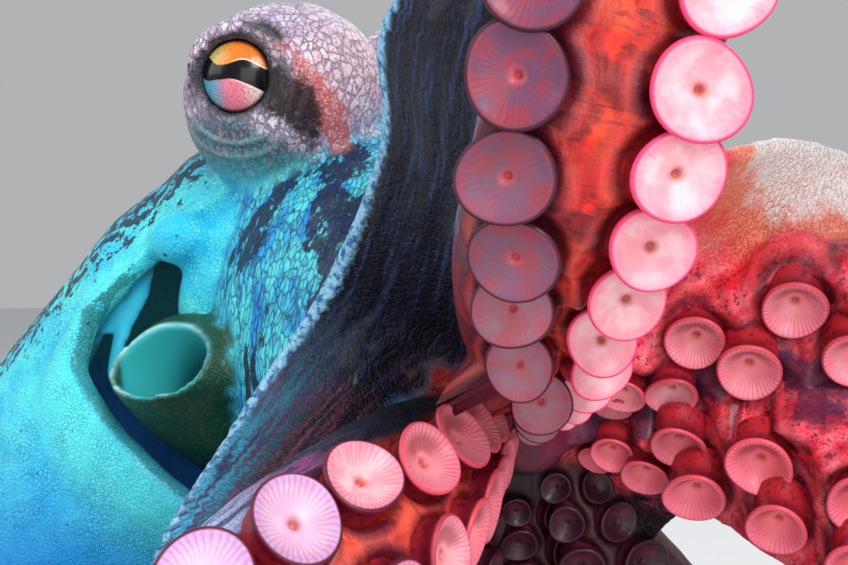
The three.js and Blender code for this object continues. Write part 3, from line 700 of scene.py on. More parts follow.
@dataclass
class Web:
    """The sheet between two neighbouring arms, ruled from an inner edge to a free edge.

    The inner edge runs in along the first arm and out along the second. The free edge is a smooth curve, drawn in
    towards the mouth between the arms, or through by where that is given.
    """

    first: Arm
    second: Arm
    reach: tuple[float, float] = (112.0, 112.0)
    by: Sequence[Vec] = ()
    thickness: float = 2.4
    inner_edge: float = 14.0
    edge_dip: float = 0.66

    def point(self, along: Array, out: Array) -> Array:
        """Points of the sheet: the straight blend, by out, from the inner edge to the free edge at along."""
        along_flat = along.ravel()
        share = np.abs(2 * along_flat - 1)
        inner = np.where(
            (along_flat < 0.5)[:, None],
            self.first.at(mix(self.inner_edge, self.reach[0], share))[0],
            self.second.at(mix(self.inner_edge, self.reach[1], share))[0],
        )
        sides = list(zip((self.first, self.second), self.reach))
        ends = [arm.centre(reach) for arm, reach in sides]
        if self.by:
            edge = catmull_rom(np.vstack([ends[0], self.by, ends[1]]), along_flat * (len(self.by) + 1))
        else:
            pulls = [arm.centre(reach * self.edge_dip) for arm, reach in sides]
            edge = bezier([ends[0], pulls[0], pulls[1], ends[1]], along_flat)
        return mix(inner, edge, out.ravel()[:, None]).reshape(*along.shape, 3)

    def sheet(self, columns: int = 70, rows: int = 30, end: float = 0.012, step: float = 0.01) -> Sheet:
        """The middle surface on a grid."""
        along, out = np.meshgrid(np.linspace(end, 1 - end, columns), np.linspace(0, 1, rows), indexing="ij")
        outward = (self.point(along, out + step) - self.point(along, out - step)) / (2 * step)
        onward = (self.point(along + step, out) - self.point(along - step, out)) / (2 * step)
        normal = unit(np.cross(outward, onward) + 1e-9)
        middle = self.point(along, out)
        oral = sum(arm.at(np.array([50.0]))[2][0] for arm in (self.first, self.second))
        towards = dot(normal, oral).mean()
        return Sheet(middle, normal if towards > 0 else -normal, onward, outward, along, out)

    def flesh(self) -> Shell:
        """The sheet given its thickness, which swells a little along the free edge."""
        sheet = self.sheet()
        rows = sheet.out.shape[1]
        share = sheet.out[0]
        half = self.thickness / 2 * (1 + 0.35 * smooth(share, 0.93, 1.0))
        half = half * np.sqrt(np.clip((1 - share) * rows, 0.25, 1))
        upper = sheet.middle + sheet.normal * half[:, None]
        lower = sheet.middle - sheet.normal * half[:, None]
        return Shell.of_rings(np.concatenate([upper, lower[:, ::-1]], axis=1))


RING_OF_ARMS = ["l1", "r1", "r2", "r3", "r4", "l4", "l3", "l2"]
WEB_EDGES: dict[str, dict] = {
    "r1_r2": {
        "reach": (150.0, 118.0),
        "by": [(68, -77, 160), (58, -68, 140), (40, -59, 118), (27, -65, 96), (34, -90, 80)],
    },
    "l1_r1": {"reach": (104.0, 104.0), "by": [(107, 12, 133), (100, -11, 141), (98, -48, 138)]},
    "l3_l2": {"reach": (48.0, 48.0)},
}
WEBS: list[Web] = [
    Web(ARMS[a], ARMS[b], **WEB_EDGES.get(f"{a}_{b}", {}))
    for a, b in zip(RING_OF_ARMS, RING_OF_ARMS[1:] + RING_OF_ARMS[:1])
]


# ------------------------------------------------------------------ mantle, head, eyes and funnel


def loft(knots: Sequence[Sequence[float]], sides: int, steps: int, up: Vec = (0, 0, 1)) -> Array:
    """Rings of an oval section along a smooth line.

    Args:
        knots: (x, y, z, half width, half height) at each place of the line.
        sides: points in each ring.
        steps: spaces between rings.
        up: the direction that the half height leans towards.

    Returns:
        The rings, shaped (steps + 1, sides, 3).
    """
    table = np.array(knots, float)
    at = np.linspace(0, len(table) - 1, steps + 1)
    line = catmull_rom(table[:, :3], at)
    padded = np.vstack([2 * line[0] - line[1], line, 2 * line[-1] - line[-2]])
    tangent = unit(padded[2:] - padded[:-2])
    across = unit(np.cross(np.array(up, float), tangent))
    upright = np.cross(tangent, across)
    places = np.arange(len(table))
    width = eased(list(zip(places, table[:, 3])), at)
    height = eased(list(zip(places, table[:, 4])), at)
    angle = np.arange(sides) * 2 * np.pi / sides
    out = (width[:, None] * np.cos(angle))[..., None] * across[:, None]
    return line[:, None] + out + (height[:, None] * np.sin(angle))[..., None] * upright[:, None]


def ball(centre: Array, radii: Sequence[float], axis: Vec = (0, 0, 1), rings: int = 24, sides: int = 36) -> Shell:
    """An ellipsoid whose poles lie on axis, from rings at even angles."""
    pole = unit(axis)
    across = unit(np.cross(pole, [0.3, 0.2, 1.0] if abs(pole[2]) < 0.9 else [1.0, 0.0, 0.0]))
    polar = np.linspace(0.04, np.pi - 0.04, rings)[:, None, None]
    angle = (np.arange(sides) * 2 * np.pi / sides)[None, :, None]
    way = np.cos(polar) * pole + np.sin(polar) * (np.cos(angle) * across + np.sin(angle) * np.cross(pole, across))
    return Shell.of_rings(centre + way * np.array(radii))


@dataclass
class Mantle:
    """The sac that hangs back and down from the neck, open round it.

    At a distance down its axis the section is an oval. The wall is carried over its free edge in a rounded lip
    and in to a closed floor.
    """

    start: Vec = (-6.0, 0.0, 116.0)
    slope_deg: float = 44.0
    length: float = 148.0
    wall: float = 3.0
    cavity_depth: float = 60.0
    narrowing: float = 16.0
    flare: float = 2.6
    edge_behind: float = -21.0
    edge_beside: float = 22.0
    edge_notch: float = 8.0
    edge_below: float = 17.0
    half_widths: tuple = (
        (-22, 25), (0, 35), (21, 42), (55, 46), (88, 44), (112, 39), (128, 32), (140, 21), (148, 6),
    )
    half_heights: tuple = (
        (-22, 31), (0, 40), (21, 43), (55, 43), (88, 43), (112, 41.5), (128, 36.5), (140, 25), (148, 7),
    )

    def __post_init__(self) -> None:
        """Works out the axis and the direction of the back."""
        slope = math.radians(self.slope_deg)
        self.axis = np.array([-math.cos(slope), 0.0, -math.sin(slope)])
        self.back = np.array([-math.sin(slope), 0.0, math.cos(slope)])

    def edge(self, angle: Array) -> Array:
        """How far down the axis the free edge lies: forward over the neck, back at the sides."""
        from_back = np.degrees(np.minimum(angle, 2 * np.pi - angle))
        beside = mix(self.edge_behind, self.edge_beside, smooth(from_back, 61, 69))
        beside = beside + self.edge_notch * smooth(from_back, 66, 80)
        return mix(beside, self.edge_below, smooth(from_back, 130, 180))

    def point(self, distance: Array, angle: Array, inset: Array | float) -> Array:
        """Points at an inset inside the outer form."""
        width = np.maximum(0.0, eased(self.half_widths, distance) - inset)
        height = np.maximum(0.0, eased(self.half_heights, distance) - inset)
        centre = np.array(self.start) + distance[..., None] * self.axis
        sideways = (width * np.sin(angle))[..., None] * np.array([0.0, 1.0, 0.0])
        return centre + (height * np.cos(angle))[..., None] * self.back + sideways

    def wall_shell(self, sides: int = 128) -> Shell:
        """The whole wall: up its inside, over the rounded lip and down its outside to the closed end."""
        angle = np.arange(sides) * 2 * np.pi / sides
        edge = self.edge(angle)
        from_back = np.degrees(np.minimum(angle, 2 * np.pi - angle))
        flare = self.flare * smooth(from_back, 58, 70) * (1 - smooth(from_back, 135, 165))
        half = self.wall / 2
        inside = np.linspace(1, 0, 12)[:, None]
        inner_d = mix(edge + half, self.cavity_depth, inside)
        inner_inset = np.broadcast_to(self.wall + self.narrowing * inside**2, inner_d.shape)
        turn = np.linspace(0, np.pi, 9)[1:-1][:, None]
        lip_d = edge + half - (half + flare / 2) * np.sin(turn)
        lip_inset = mix(self.wall, -flare, 0.5 - 0.5 * np.cos(turn))
        outer_d = mix(edge + half, self.length, 1 - (1 - np.linspace(0, 1, 60)[:, None]) ** 1.5)
        outer_inset = -flare * (1 - smooth(outer_d - edge, 3, 17))
        distance = np.vstack([inner_d, lip_d, outer_d])
        inset = np.vstack([inner_inset, lip_inset, outer_inset])
        return Shell.of_rings(self.point(distance, np.broadcast_to(angle, distance.shape), inset))


HEAD_LINE = (
    (-34, 0, 132, 14, 13), (-16, 0, 134, 22, 18), (1, -1, 131, 28, 27), (14, -7, 114, 32, 39),
    (30, -15, 100, 33, 39), (46, -19, 92, 21, 24),
)


@dataclass
class Eye:
    """One eye: a ball set in the mound at the side of the head, with lids round its opening."""

    side: int
    mound_half_gap: float = 20.0
    mound_height: float = 152.6
    mound_radii: Vec = (20.0, 19.0, 18.5)
    radius: float = 9.3
    out: float = 11.5
    axis_left: Vec = (0.02, 0.97, 0.23)
    opening: float = 6.5
    turned_forward: float = 0.33
    turned_down: float = 0.22
    pit_depth: float = 6.0

    def __post_init__(self) -> None:
        """Works out the mound's centre, the eye's centre, and the way it looks: forward and a little down."""
        self.mound = np.array([0.0, self.side * self.mound_half_gap, self.mound_height])
        axis = unit([self.axis_left[0], self.side * self.axis_left[1], self.axis_left[2]])
        self.centre = self.mound + axis * self.out
        self.look = unit(axis + np.array([self.turned_forward, 0.0, -self.turned_down]))
        self.front = unit(np.array([1.0, 0.0, 0.0]) - self.look * self.look[0])
        upright = np.cross(self.front, self.look)
        self.upright = upright * np.sign(upright[2])

    def face(self, points: Array) -> tuple[Array, Array, Array]:
        """Offsets from the eye's centre: to the front, up and out, in millimetres."""
        offset = points - self.centre
        return offset @ self.front, offset @ self.upright, offset @ self.look

    def mound_shell(self) -> Shell:
        """The mound: an ellipsoid with a pit that the ball fills."""
        shell = ball(self.mound, self.mound_radii, rings=90, sides=140)
        front, up, out = self.face(shell.points)
        inside = 1 - smooth(np.hypot(front, up), self.opening - 0.3, self.opening + 1.0)
        pit = self.pit_depth * inside * (out > 0)
        return Shell(shell.points - pit[:, None] * self.look, shell.quads, shell.tris)

    def lids(self, sides: int = 72, around: int = 14) -> Shell:
        """The lids: a bent tube round the opening, thicker above the eye than below."""
        turn = np.arange(sides + 1) * 2 * np.pi / sides
        spoke = np.cos(turn)[:, None] * self.front + np.sin(turn)[:, None] * self.upright
        above = smooth(np.sin(turn), -0.3, 0.9)
        thick = mix(1.2, 1.9, above)
        ring = self.opening + thick
        ahead = np.sqrt(self.radius**2 - self.opening**2) + 0.1 + 0.5 * above
        middle = self.centre + spoke * ring[:, None] + self.look * ahead[:, None]
        angle = (np.arange(around) * 2 * np.pi / around)[None, :, None]
        tube = middle[:, None] + thick[:, None, None] * (np.cos(angle) * spoke[:, None] + np.sin(angle) * self.look)
        return Shell.of_rings(tube)

    def ball_shell(self) -> Shell:
        """The eyeball, with its poles on the way it looks."""
        return ball(self.centre, (self.radius,) * 3, tuple(self.look), rings=60, sides=96)


EYES = {"r": Eye(-1), "l": Eye(1)}
FUNNEL_LINE = ((-3, -2, 76), (-8, -10, 79), (-12, -20, 86), (-13, -31.5, 95), (-10, -43, 104))
FUNNEL_RADII = (8.0, 8.0, 8.2, 9.2, 9.2)
FUNNEL_BORE = (3.0, 3.6, 4.4, 6.6, 8.0)
FUNNEL_POINT = (-0.77, -0.54, -0.35)
FUNNEL_CREST = (0.31, 0.62, 0.72)


@dataclass
class Funnel:
    """The siphon: a soft tube with a swollen crest behind its thin lip, and its hollow."""

    sides: int = 64

    def shell(self) -> Shell:
        """The outside from the root to the lip, then back down the inside to the bore's closed end."""
        outside = self._tube(FUNNEL_LINE, FUNNEL_RADII, 36)
        spoke = outside - outside.mean(axis=1, keepdims=True)
        crest = smooth(dot(unit(spoke), np.array(FUNNEL_CREST)), -0.3, 0.9)
        along = np.linspace(0, 1, len(outside))[:, None]
        swelling = 0.55 * smooth(along, 0.74, 0.92) * (1 - smooth(along, 0.945, 1.0)) * crest
        outside = outside + spoke * swelling[..., None]
        inside = self._tube(FUNNEL_LINE[1:], FUNNEL_BORE[1:], 24)[::-1]
        ahead = unit(outside[-1].mean(axis=0) - outside[-4].mean(axis=0))
        lip = (outside[-1] + inside[0]) / 2 + ahead * 0.7
        return Shell.of_rings(np.concatenate([outside, lip[None], inside]))

    def _tube(self, line: Sequence[Vec], radii: Sequence[float], steps: int) -> Array:
        """Rings along the funnel, drawn out to a soft point on one side towards the end."""
        rings = loft([(*place, radius, radius * 0.92) for place, radius in zip(line, radii)], self.sides, steps)
        spoke = rings - rings.mean(axis=1, keepdims=True)
        towards = np.clip(dot(unit(spoke), np.array(FUNNEL_POINT)), 0, 1) ** 4
        drawn = 0.22 * smooth(np.linspace(0, 1, steps + 1), 0.55, 1.0)[:, None] * towards
        return rings + spoke * drawn[..., None]


# ------------------------------------------------------------------ shader graph


class Value:
    """A number that a shader works out, with Python's arithmetic on it."""

    def __init__(self, graph: "Graph", socket: Socket) -> None:
        """Wraps an output socket of a graph."""
        self.graph = graph
        self.socket = socket

    def _with(self, operation: str, *others: "Value | float") -> "Value":
        """Adds a Math node whose first input is this value."""
        return self.graph.maths(operation, self, *others)

    def __add__(self, other: "Value | float") -> "Value":
        """Sum."""
        return self._with("ADD", other)

    __radd__ = __add__

    def __sub__(self, other: "Value | float") -> "Value":
        """Difference."""
        return self._with("SUBTRACT", other)

    def __rsub__(self, other: "Value | float") -> "Value":
        """Difference, the other way round."""
        return self.graph.maths("SUBTRACT", other, self)

    def __mul__(self, other: "Value | float") -> "Value":
        """Product."""
        return self._with("MULTIPLY", other)

    __rmul__ = __mul__

    def __pow__(self, power: float) -> "Value":
        """Power."""
        return self._with("POWER", power)

    def sine(self) -> "Value":
        """Sine of an angle in radians."""
        return self._with("SINE")

    def step(self, lo: float, hi: float) -> "Value":
        """Smooth step from 0 at lo to 1 at hi; lo may be above hi."""
        if lo > hi:
            return 1 - self.step(hi, lo)
        settings = {"interpolation_type": "SMOOTHSTEP"}
        made = self.graph.node("ShaderNodeMapRange", settings, {0: self, 1: lo, 2: hi})
        return Value(self.graph, made.outputs[0])


class Graph:
    """A material's node tree, built by expressions."""

    def __init__(self, name: str) -> None:
        """Starts an empty material."""
        self.material = bpy.data.materials.new(name)
        self.material.use_nodes = True
        self.tree = self.material.node_tree
        self.tree.nodes.clear()

    def node(self, kind: str, settings: dict | None = None, sockets: dict | None = None) -> bpy.types.Node:
        """Adds a node.

        Args:
            kind: the node's type.
            settings: properties that are set first.
            sockets: what goes into each input, by its name or number: a value, a socket or a constant.

        Returns:
            The node.
        """
        made = self.tree.nodes.new(kind)
        for key, setting in (settings or {}).items():
            setattr(made, key, setting)
        for key, given in (sockets or {}).items():
            given = given.socket if isinstance(given, Value) else given
            if isinstance(given, Socket):
                self.tree.links.new(given, made.inputs[key])
            elif isinstance(given, tuple) and made.inputs[key].type == "RGBA":
                made.inputs[key].default_value = (*given, 1.0)
            else:
                made.inputs[key].default_value = given
        return made

    def maths(self, operation: str, *given: Value | float) -> Value:
        """A Math node on one, two or three values."""
        made = self.node("ShaderNodeMath", {"operation": operation}, dict(enumerate(given)))
        return Value(self, made.outputs[0])

    def mark(self, name: str) -> Value:
        """A number stored on the mesh."""
        return Value(self, self.node("ShaderNodeAttribute", {"attribute_name": name}).outputs["Fac"])

    def mark_vector(self, name: str) -> Socket:
        """A vector stored on the mesh."""
        return self.node("ShaderNodeAttribute", {"attribute_name": name}).outputs["Vector"]

    def object_mm(self, stretch: Vec = (1.0, 1.0, 1.0)) -> Socket:
        """Object coordinates in millimetres, each multiplied by a stretch."""
        place = self.node("ShaderNodeTexCoord").outputs["Object"]
        return self.scaled(place, tuple(1000.0 * s for s in stretch))

    def _vectors(self, operation: str, sockets: dict) -> Socket:
        """The result of a Vector Math node."""
        return self.node("ShaderNodeVectorMath", {"operation": operation}, sockets).outputs[0]

    def scaled(self, vector: Socket, by: Vec) -> Socket:
        """A vector multiplied part by part."""
        return self._vectors("MULTIPLY", {0: vector, 1: by})

    def along(self, vector: Socket, direction: Sequence[float]) -> Value:
        """A vector's length along a direction."""
        direction = tuple(float(c) for c in direction)
        made = self.node("ShaderNodeVectorMath", {"operation": "DOT_PRODUCT"}, {0: vector, 1: direction})
        return Value(self, made.outputs["Value"])

    def bent(self, vector: Socket, cell: float, amount: float) -> Socket:
        """A vector moved about by noise, so that a pattern on it has no straight edges."""
        noise = self.node("ShaderNodeTexNoise", {}, {"Vector": vector, "Scale": 1 / cell, "Detail": 2.0})
        centred = self._vectors("SUBTRACT", {0: noise.outputs["Color"], 1: (0.5,) * 3})
        moved = self._vectors("SCALE", {0: centred, "Scale": amount})
        return self._vectors("ADD", {0: vector, 1: moved})

    def noise(self, vector: Socket, cell: float, detail: float = 3.0, rough: float = 0.55) -> Value:
        """Noise from 0 to 1 whose lumps are about a cell across."""
        sockets = {"Vector": vector, "Scale": 1 / cell, "Detail": detail, "Roughness": rough}
        return Value(self, self.node("ShaderNodeTexNoise", {}, sockets).outputs["Fac"])

    def cells(self, vector: Socket, cell: float) -> Value:
        """The distance to the nearest border in a field of cells about a cell across."""
        sockets = {"Vector": vector, "Scale": 1 / cell}
        made = self.node("ShaderNodeTexVoronoi", {"feature": "DISTANCE_TO_EDGE"}, sockets)
        return Value(self, made.outputs["Distance"])

    def cell_shade(self, vector: Socket, cell: float) -> Value:
        """A random number from 0 to 1 for each cell."""
        made = self.node("ShaderNodeTexVoronoi", {}, {"Vector": vector, "Scale": 1 / cell})
        return Value(self, self.node("ShaderNodeSeparateColor", {}, {0: made.outputs["Color"]}).outputs[0])

    def mixed(self, share: Value | float, first: Paint, second: Paint) -> Socket:
        """A colour from first at share 0 to second at share 1."""
        settings = {"data_type": "RGBA", "blend_type": "MIX", "clamp_factor": True}
        return self.node("ShaderNodeMix", settings, {0: share, 6: first, 7: second}).outputs[2]

    def layered(self, base: Paint, *layers: tuple[Value | float, Paint]) -> Paint:
        """A colour under layers: each is a share, and the colour that covers what lies below by that share."""
        for share, paint in layers:
            base = self.mixed(share, base, paint)
        return base

    def finish(self, sockets: dict, bump: Value, depth: float, strength: float = 1.0) -> Material:
        """Closes the graph with a Principled shader and a bump.

        Args:
            sockets: inputs of the shader.
            bump: the height that the normal follows, from 0 to 1.
            depth: that height's size, in metres.
            strength: how much of it shows.

        Returns:
            The material.
        """
        bumped = self.node("ShaderNodeBump", {}, {"Height": bump, "Distance": depth, "Strength": strength})
        shader = self.node("ShaderNodeBsdfPrincipled", {}, {**sockets, "Normal": bumped.outputs[0]})
        self.node("ShaderNodeOutputMaterial", {}, {0: shader.outputs[0]})
        return self.material


# ------------------------------------------------------------------ finishes


@dataclass(frozen=True)
class SkinFinish:
    """Wet skin: turquoise and netted behind, lavender over the eyes, red in front, and painted shade, nearly black,
    inside the web.
    """

    mantle_low: Colour = (0.012, 0.35, 0.90)
    mantle: Colour = (0.030, 0.66, 0.96)
    mantle_bright: Colour = (0.12, 0.97, 0.97)
    mantle_line: Colour = (0.006, 0.09, 0.28)
    head: Colour = (0.020, 0.24, 0.58)
    head_cell: Colour = (0.12, 0.88, 0.98)
    navy: Colour = (0.006, 0.010, 0.050)
    warm: Colour = (0.92, 0.075, 0.085)
    warm_bright: Colour = (0.98, 0.26, 0.24)
    warm_dark: Colour = (0.13, 0.008, 0.020)
    cream: Colour = (0.99, 0.95, 0.92)
    amber: Colour = (0.97, 0.34, 0.20)
    salmon: Colour = (0.98, 0.50, 0.40)
    mound: Colour = (0.50, 0.40, 0.62)
    mound_pale: Colour = (0.92, 0.82, 0.95)
    mound_dark: Colour = (0.035, 0.022, 0.050)
    mound_cell: Colour = (0.62, 0.30, 0.42)
    mound_rosy: Colour = (0.93, 0.70, 0.78)
    mound_under: Colour = (0.10, 0.25, 0.30)
    mound_ring: Colour = (0.42, 0.66, 0.66)
    mound_shade: Colour = (0.010, 0.026, 0.020)
    lid_line: Colour = (0.008, 0.012, 0.014)
    patch: Colour = (0.010, 0.005, 0.008)
    patch_grain: Colour = (0.16, 0.035, 0.035)
    patch_red: Colour = (0.62, 0.085, 0.050)
    web_shade: Colour = (0.006, 0.006, 0.016)
    web_streak: Colour = (0.030, 0.050, 0.15)
    web_purple: Colour = (0.36, 0.055, 0.11)
    web_rim_light: Colour = (0.34, 0.70, 0.98)
    web_rim_dark: Colour = (0.030, 0.17, 0.42)
    web_cool: Colour = (0.07, 0.46, 0.74)
    oral: Colour = (0.90, 0.022, 0.010)
    oral_bright: Colour = (0.98, 0.09, 0.03)
    oral_crease_shade: Colour = (0.060, 0.005, 0.014)
    murk: Colour = (0.060, 0.012, 0.030)
    crimson: Colour = (0.90, 0.026, 0.055)
    crimson_bright: Colour = (0.98, 0.17, 0.24)
    crimson_dark: Colour = (0.11, 0.005, 0.018)
    collar: Colour = (0.86, 0.14, 0.13)
    socket: Colour = (0.050, 0.004, 0.016)
    gap_shade: Colour = (0.042, 0.012, 0.045)
    mouth_shade: Colour = (0.006, 0.007, 0.014)
    limb: Colour = (0.16, 0.42, 0.74)
    limb_pale: Colour = (0.52, 0.56, 0.86)
    limb_rosy: Colour = (0.30, 0.07, 0.22)
    hollow: Colour = (0.07, 0.46, 0.42)
    hollow_blue: Colour = (0.03, 0.22, 0.62)
    hollow_shade: Colour = (0.012, 0.12, 0.15)
    hollow_speck: Colour = (0.010, 0.045, 0.050)
    brink: Colour = (0.010, 0.085, 0.10)
    lobe: Colour = (0.05, 0.62, 0.86)
    funnel: Colour = (0.010, 0.060, 0.035)
    funnel_speck: Colour = (0.035, 0.15, 0.07)
    funnel_inside: Colour = (0.045, 0.50, 0.52)
    funnel_lip: Colour = (0.42, 0.82, 0.80)

    def build(self) -> Material:
        """Builds the material."""
        g = Graph("octopus_skin")
        place = g.object_mm()
        cloud = g.noise(place, 14.0, 4.0)
        grain = g.noise(place, 0.55, 3.0, 0.7)
        crack = g.cells(g.bent(g.bent(place, 3.0, 1.4), 0.8, 0.5), 0.72)
        long_place = g.bent(g.bent(g.object_mm((1.0, 1.0, 0.42)), 5.0, 1.8), 1.2, 0.7)
        net = g.cells(long_place, 1.25)
        streak = g.noise(g.scaled(g.mark_vector("flow"), (0.16, 1.0, 1.0)), 1.7, 4.0, 0.6)
        beads = g.noise(place, 1.3, 2.0)
        colour = g.layered(
            self._mantle(g, place, cloud, grain, crack),
            (g.mark("head"), self._head(g, net, g.cell_shade(long_place, 1.25))),
            (g.mark("limb"), self._limb(g, streak, crack)),
            (g.mark("warm"), self._warm(g, place, cloud, grain)),
            (g.mark("mound"), self._mound(g, place, grain)),
        )
        colour = g.layered(
            self._eye_marks(g, colour, place, grain),
            (g.mark("oral"), self._oral(g, place)),
            (g.mark("web_inner"), self._web(g, streak, cloud)),
            # The web's free edge: painted rim light, with darker beads.
            (g.mark("rim"), g.mixed(beads.step(0.46, 0.66), self.web_rim_light, self.web_rim_dark)),
        )
        height = (
            net.step(0.0, 0.2) * g.mark("head") * 0.7
            + crack.step(0.0, 0.16) * (1 - g.mark("oral")) * 0.34
            + grain * 0.30
            + g.noise(place, 2.2, 3.0) * 0.5
            + streak * g.mark("ribbed") * 0.8
        )
        sockets = {
            "Base Color": self._hollows(g, self._sockets(g, colour, grain), place, grain),
            "Roughness": 0.34 + 0.25 * grain,
            "Coat Weight": 0.14,
            "Coat Roughness": 0.12,
            "Specular IOR Level": 0.26,
        }
        return g.finish(sockets, height * (1 - g.mark("smooth")), 0.00040, 0.9)

    def _mantle(self, g: Graph, place: Socket, cloud: Value, grain: Value, crack: Value) -> Socket:
        """Turquoise, brighter round the opening with a painted highlight on the lip, with thin dark cracks and navy
        flecks towards the back.
        """
        netted = g.noise(place, 8.0, 3.0).step(0.40, 0.62)
        colour = g.layered(
            self.mantle,
            (cloud.step(0.35, 0.62), self.mantle_bright),
            (g.mark("low"), self.mantle_low),
            (g.mark("glow"), self.mantle_bright),
            (crack.step(0.13, 0.0) * (0.12 + 0.45 * netted), self.mantle_line),
            (grain.step(0.55, 0.8) * 0.35, self.mantle_line),
        )
        fleck = g.noise(place, 2.6, 4.0, 0.62) + 0.34 * g.mark("blotch")
        return g.mixed(fleck.step(0.68, 0.73) * 0.93, colour, self.navy)

    def _head(self, g: Graph, net: Value, tint: Value) -> Socket:
        """Bright turquoise with upright patches, fine dark cracks, and navy streaks."""
        shade = g.noise(g.object_mm((1.0, 1.0, 0.35)), 5.0, 4.0, 0.6)
        colour = g.layered(
            self.mantle_low,
            (shade.step(0.36, 0.60), self.head_cell),
            (tint.step(0.62, 0.9) * 0.55, self.head),
            (net.step(0.13, 0.0) * 0.75, self.navy),
        )
        fleck = g.noise(g.bent(g.object_mm((1.0, 1.0, 0.30)), 4.0, 1.6), 2.0, 4.0, 0.66)
        fleck = fleck + 0.30 * g.mark("blotch")
        return g.mixed(fleck.step(0.62, 0.68) * 0.93, colour, self.navy)

    def _limb(self, g: Graph, streak: Value, crack: Value) -> Socket:
        """The outer skin of the cool arms: pale blue to lavender, with dark streaks along the arm, and painted shade
        near the crown.
        """
        inward = g.mark("inward")
        return g.layered(
            self.limb_pale,
            (g.mark("low"), self.limb),
            (streak.step(0.46, 0.60) * 0.85, self.navy),
            (inward.step(0.0, 0.5), g.mixed(streak.step(0.4, 0.6), self.limb_rosy, self.navy)),
            # Painted shade near the crown.
            (inward.step(0.45, 0.9), self.web_shade),
            (crack.step(0.08, 0.0) * 0.35, self.navy),
        )

    def _warm(self, g: Graph, place: Socket, cloud: Value, grain: Value) -> Socket:
        """Red and orange, amber and cream on the upper side, with a fine dark lace."""
        patches = g.noise(place, 5.0, 4.0, 0.65)
        pale = g.mark("pale") + (patches - 0.5) * 1.1
        lace = g.cells(g.bent(place, 1.6, 0.9), 0.85)
        return g.layered(
            self.warm,
            (cloud.step(0.36, 0.62), self.warm_bright),
            (patches.step(0.54, 0.68) * 0.45, self.warm_dark),
            (pale.step(0.02, 0.42) * 0.75, self.amber),
            (pale.step(0.48, 0.90), self.cream),
            (lace.step(0.12, 0.02) * (0.06 + 0.40 * grain), self.warm_dark),
            (grain.step(0.58, 0.78) * 0.5, self.salmon),
        )

    def _mound(self, g: Graph, place: Socket, grain: Value) -> Socket:
        """The eye mounds: speckled lavender above, grey teal below, rosy white to the front, with painted shade behind
        each eye.
        """
        wide = g.noise(place, 4.5, 4.0, 0.6)
        scales = g.bent(g.object_mm((1.0, 1.0, 0.62)), 3.0, 1.3)
        # Painted shade behind each eye, from the shade mark.
        dim = (g.mark("shade") + (g.noise(place, 1.4, 4.0, 0.7) - 0.5) * 1.1).step(0.30, 0.62)
        return g.layered(
            self.mound,
            (wide.step(0.36, 0.62), self.mound_pale),
            (g.mark("rosy") * 0.75, self.mound_rosy),
            (g.mark("under"), self.mound_under),
            (g.cell_shade(scales, 1.55).step(0.5, 1.0) * 0.40, self.mound_cell),
            (g.cells(scales, 1.55).step(0.16, 0.02) * (0.30 + 0.55 * wide), self.mound_dark),
            (grain.step(0.52, 0.62) * 0.50, self.mound_dark),
            (g.mark("ring").step(0.40, 1.0) * g.mark("under") * 0.42, self.mound_ring),
            (dim * 0.94, self.mound_shade),
        )

    def _eye_marks(self, g: Graph, base: Paint, place: Socket, grain: Value) -> Socket:
        """The dark bar that runs forward from the eye, its red end, and the dark lines of the lids."""
        ragged = g.noise(place, 1.5, 5.0, 0.72) - 0.5
        red = (g.mark("patch_red") + ragged * 1.3).step(0.30, 0.62)
        bar = (g.mark("patch") + ragged * 1.2).step(0.26, 0.80)
        return g.layered(
            base,
            (red * grain.step(0.30, 0.56) * 0.85, self.patch_red),
            (bar * 0.96, self.patch),
            (bar * grain.step(0.55, 0.72) * 0.5, self.patch_grain),
            (g.mark("lid_dark"), self.lid_line),
        )

    def _oral(self, g: Graph, place: Socket) -> Socket:
        """Between the suckers: orange red, crimson with maroon grain on the cool side, maroon painted shade in the
        folds and creases, and painted shade on the first arm's left side and towards the left.
        """
        cool = g.layered(
            self.crimson,
            (g.noise(place, 3.2, 5.0, 0.72).step(0.42, 0.66), self.crimson_bright),
            (g.noise(place, 0.9, 4.0, 0.75).step(0.52, 0.60) * 0.8, self.crimson_dark),
        )
        folds = (g.mark("fold") + (g.noise(place, 4.0, 4.0, 0.6) - 0.5) * 1.4).step(0.45, 0.85)
        across = g.bent(g.scaled(g.mark_vector("flow"), (1.0, 0.25, 0.25)), 5.0, 3.0)
        creases = g.noise(across, 1.5, 4.0, 0.62).step(0.50, 0.62) * (1 - g.mark("grainy"))
        return g.layered(
            self.oral,
            (g.noise(place, 7.0, 3.0).step(0.36, 0.62), self.oral_bright),
            (g.mark("grainy"), cool),
            # Painted shade in the folds and creases.
            (folds * 0.6, self.oral_crease_shade),
            (creases * 0.6, self.oral_crease_shade),
            # Painted shade on the first arm's left side and towards the left.
            (g.mark("murky"), self.murk),
        )

    def _sockets(self, g: Graph, base: Paint, grain: Value) -> Socket:
        """Painted shade in the folds round the suckers and a lighter ring between them, painted shade between the
        first two left arms, and painted shade beside the mouth.
        """
        gap_shade = (g.mark("between") + (g.noise(g.object_mm(), 3.0, 4.0, 0.65) - 0.5) * 1.2).step(0.35, 0.75)
        return g.layered(
            base,
            (g.mark("collar_light") * g.mark("oral") * (0.2 + 0.5 * grain), self.collar),
            # Painted shade in the folds round the suckers.
            (g.mark("socket") * g.mark("oral") * 0.85, self.socket),
            # Painted shade between the first two left arms.
            (gap_shade * 0.85, self.gap_shade),
            # Painted shade beside the mouth.
            (g.mark("shaded") * 0.92, self.mouth_shade),
        )

    def _web(self, g: Graph, streak: Value, cloud: Value) -> Socket:
        """The web's inner face: painted shade, nearly black, with fine streaks, purple and blue further down."""
        return g.layered(
            self.web_shade,
            (streak.step(0.48, 0.70), self.web_streak),
            (
                g.mark("web_low"),
                g.mixed(streak.step(0.40, 0.74) * cloud.step(0.34, 0.62), self.web_shade, self.web_purple),
            ),
            (g.mark("web_cool"), g.mixed(streak.step(0.40, 0.62), self.web_cool, self.web_streak)),
        )

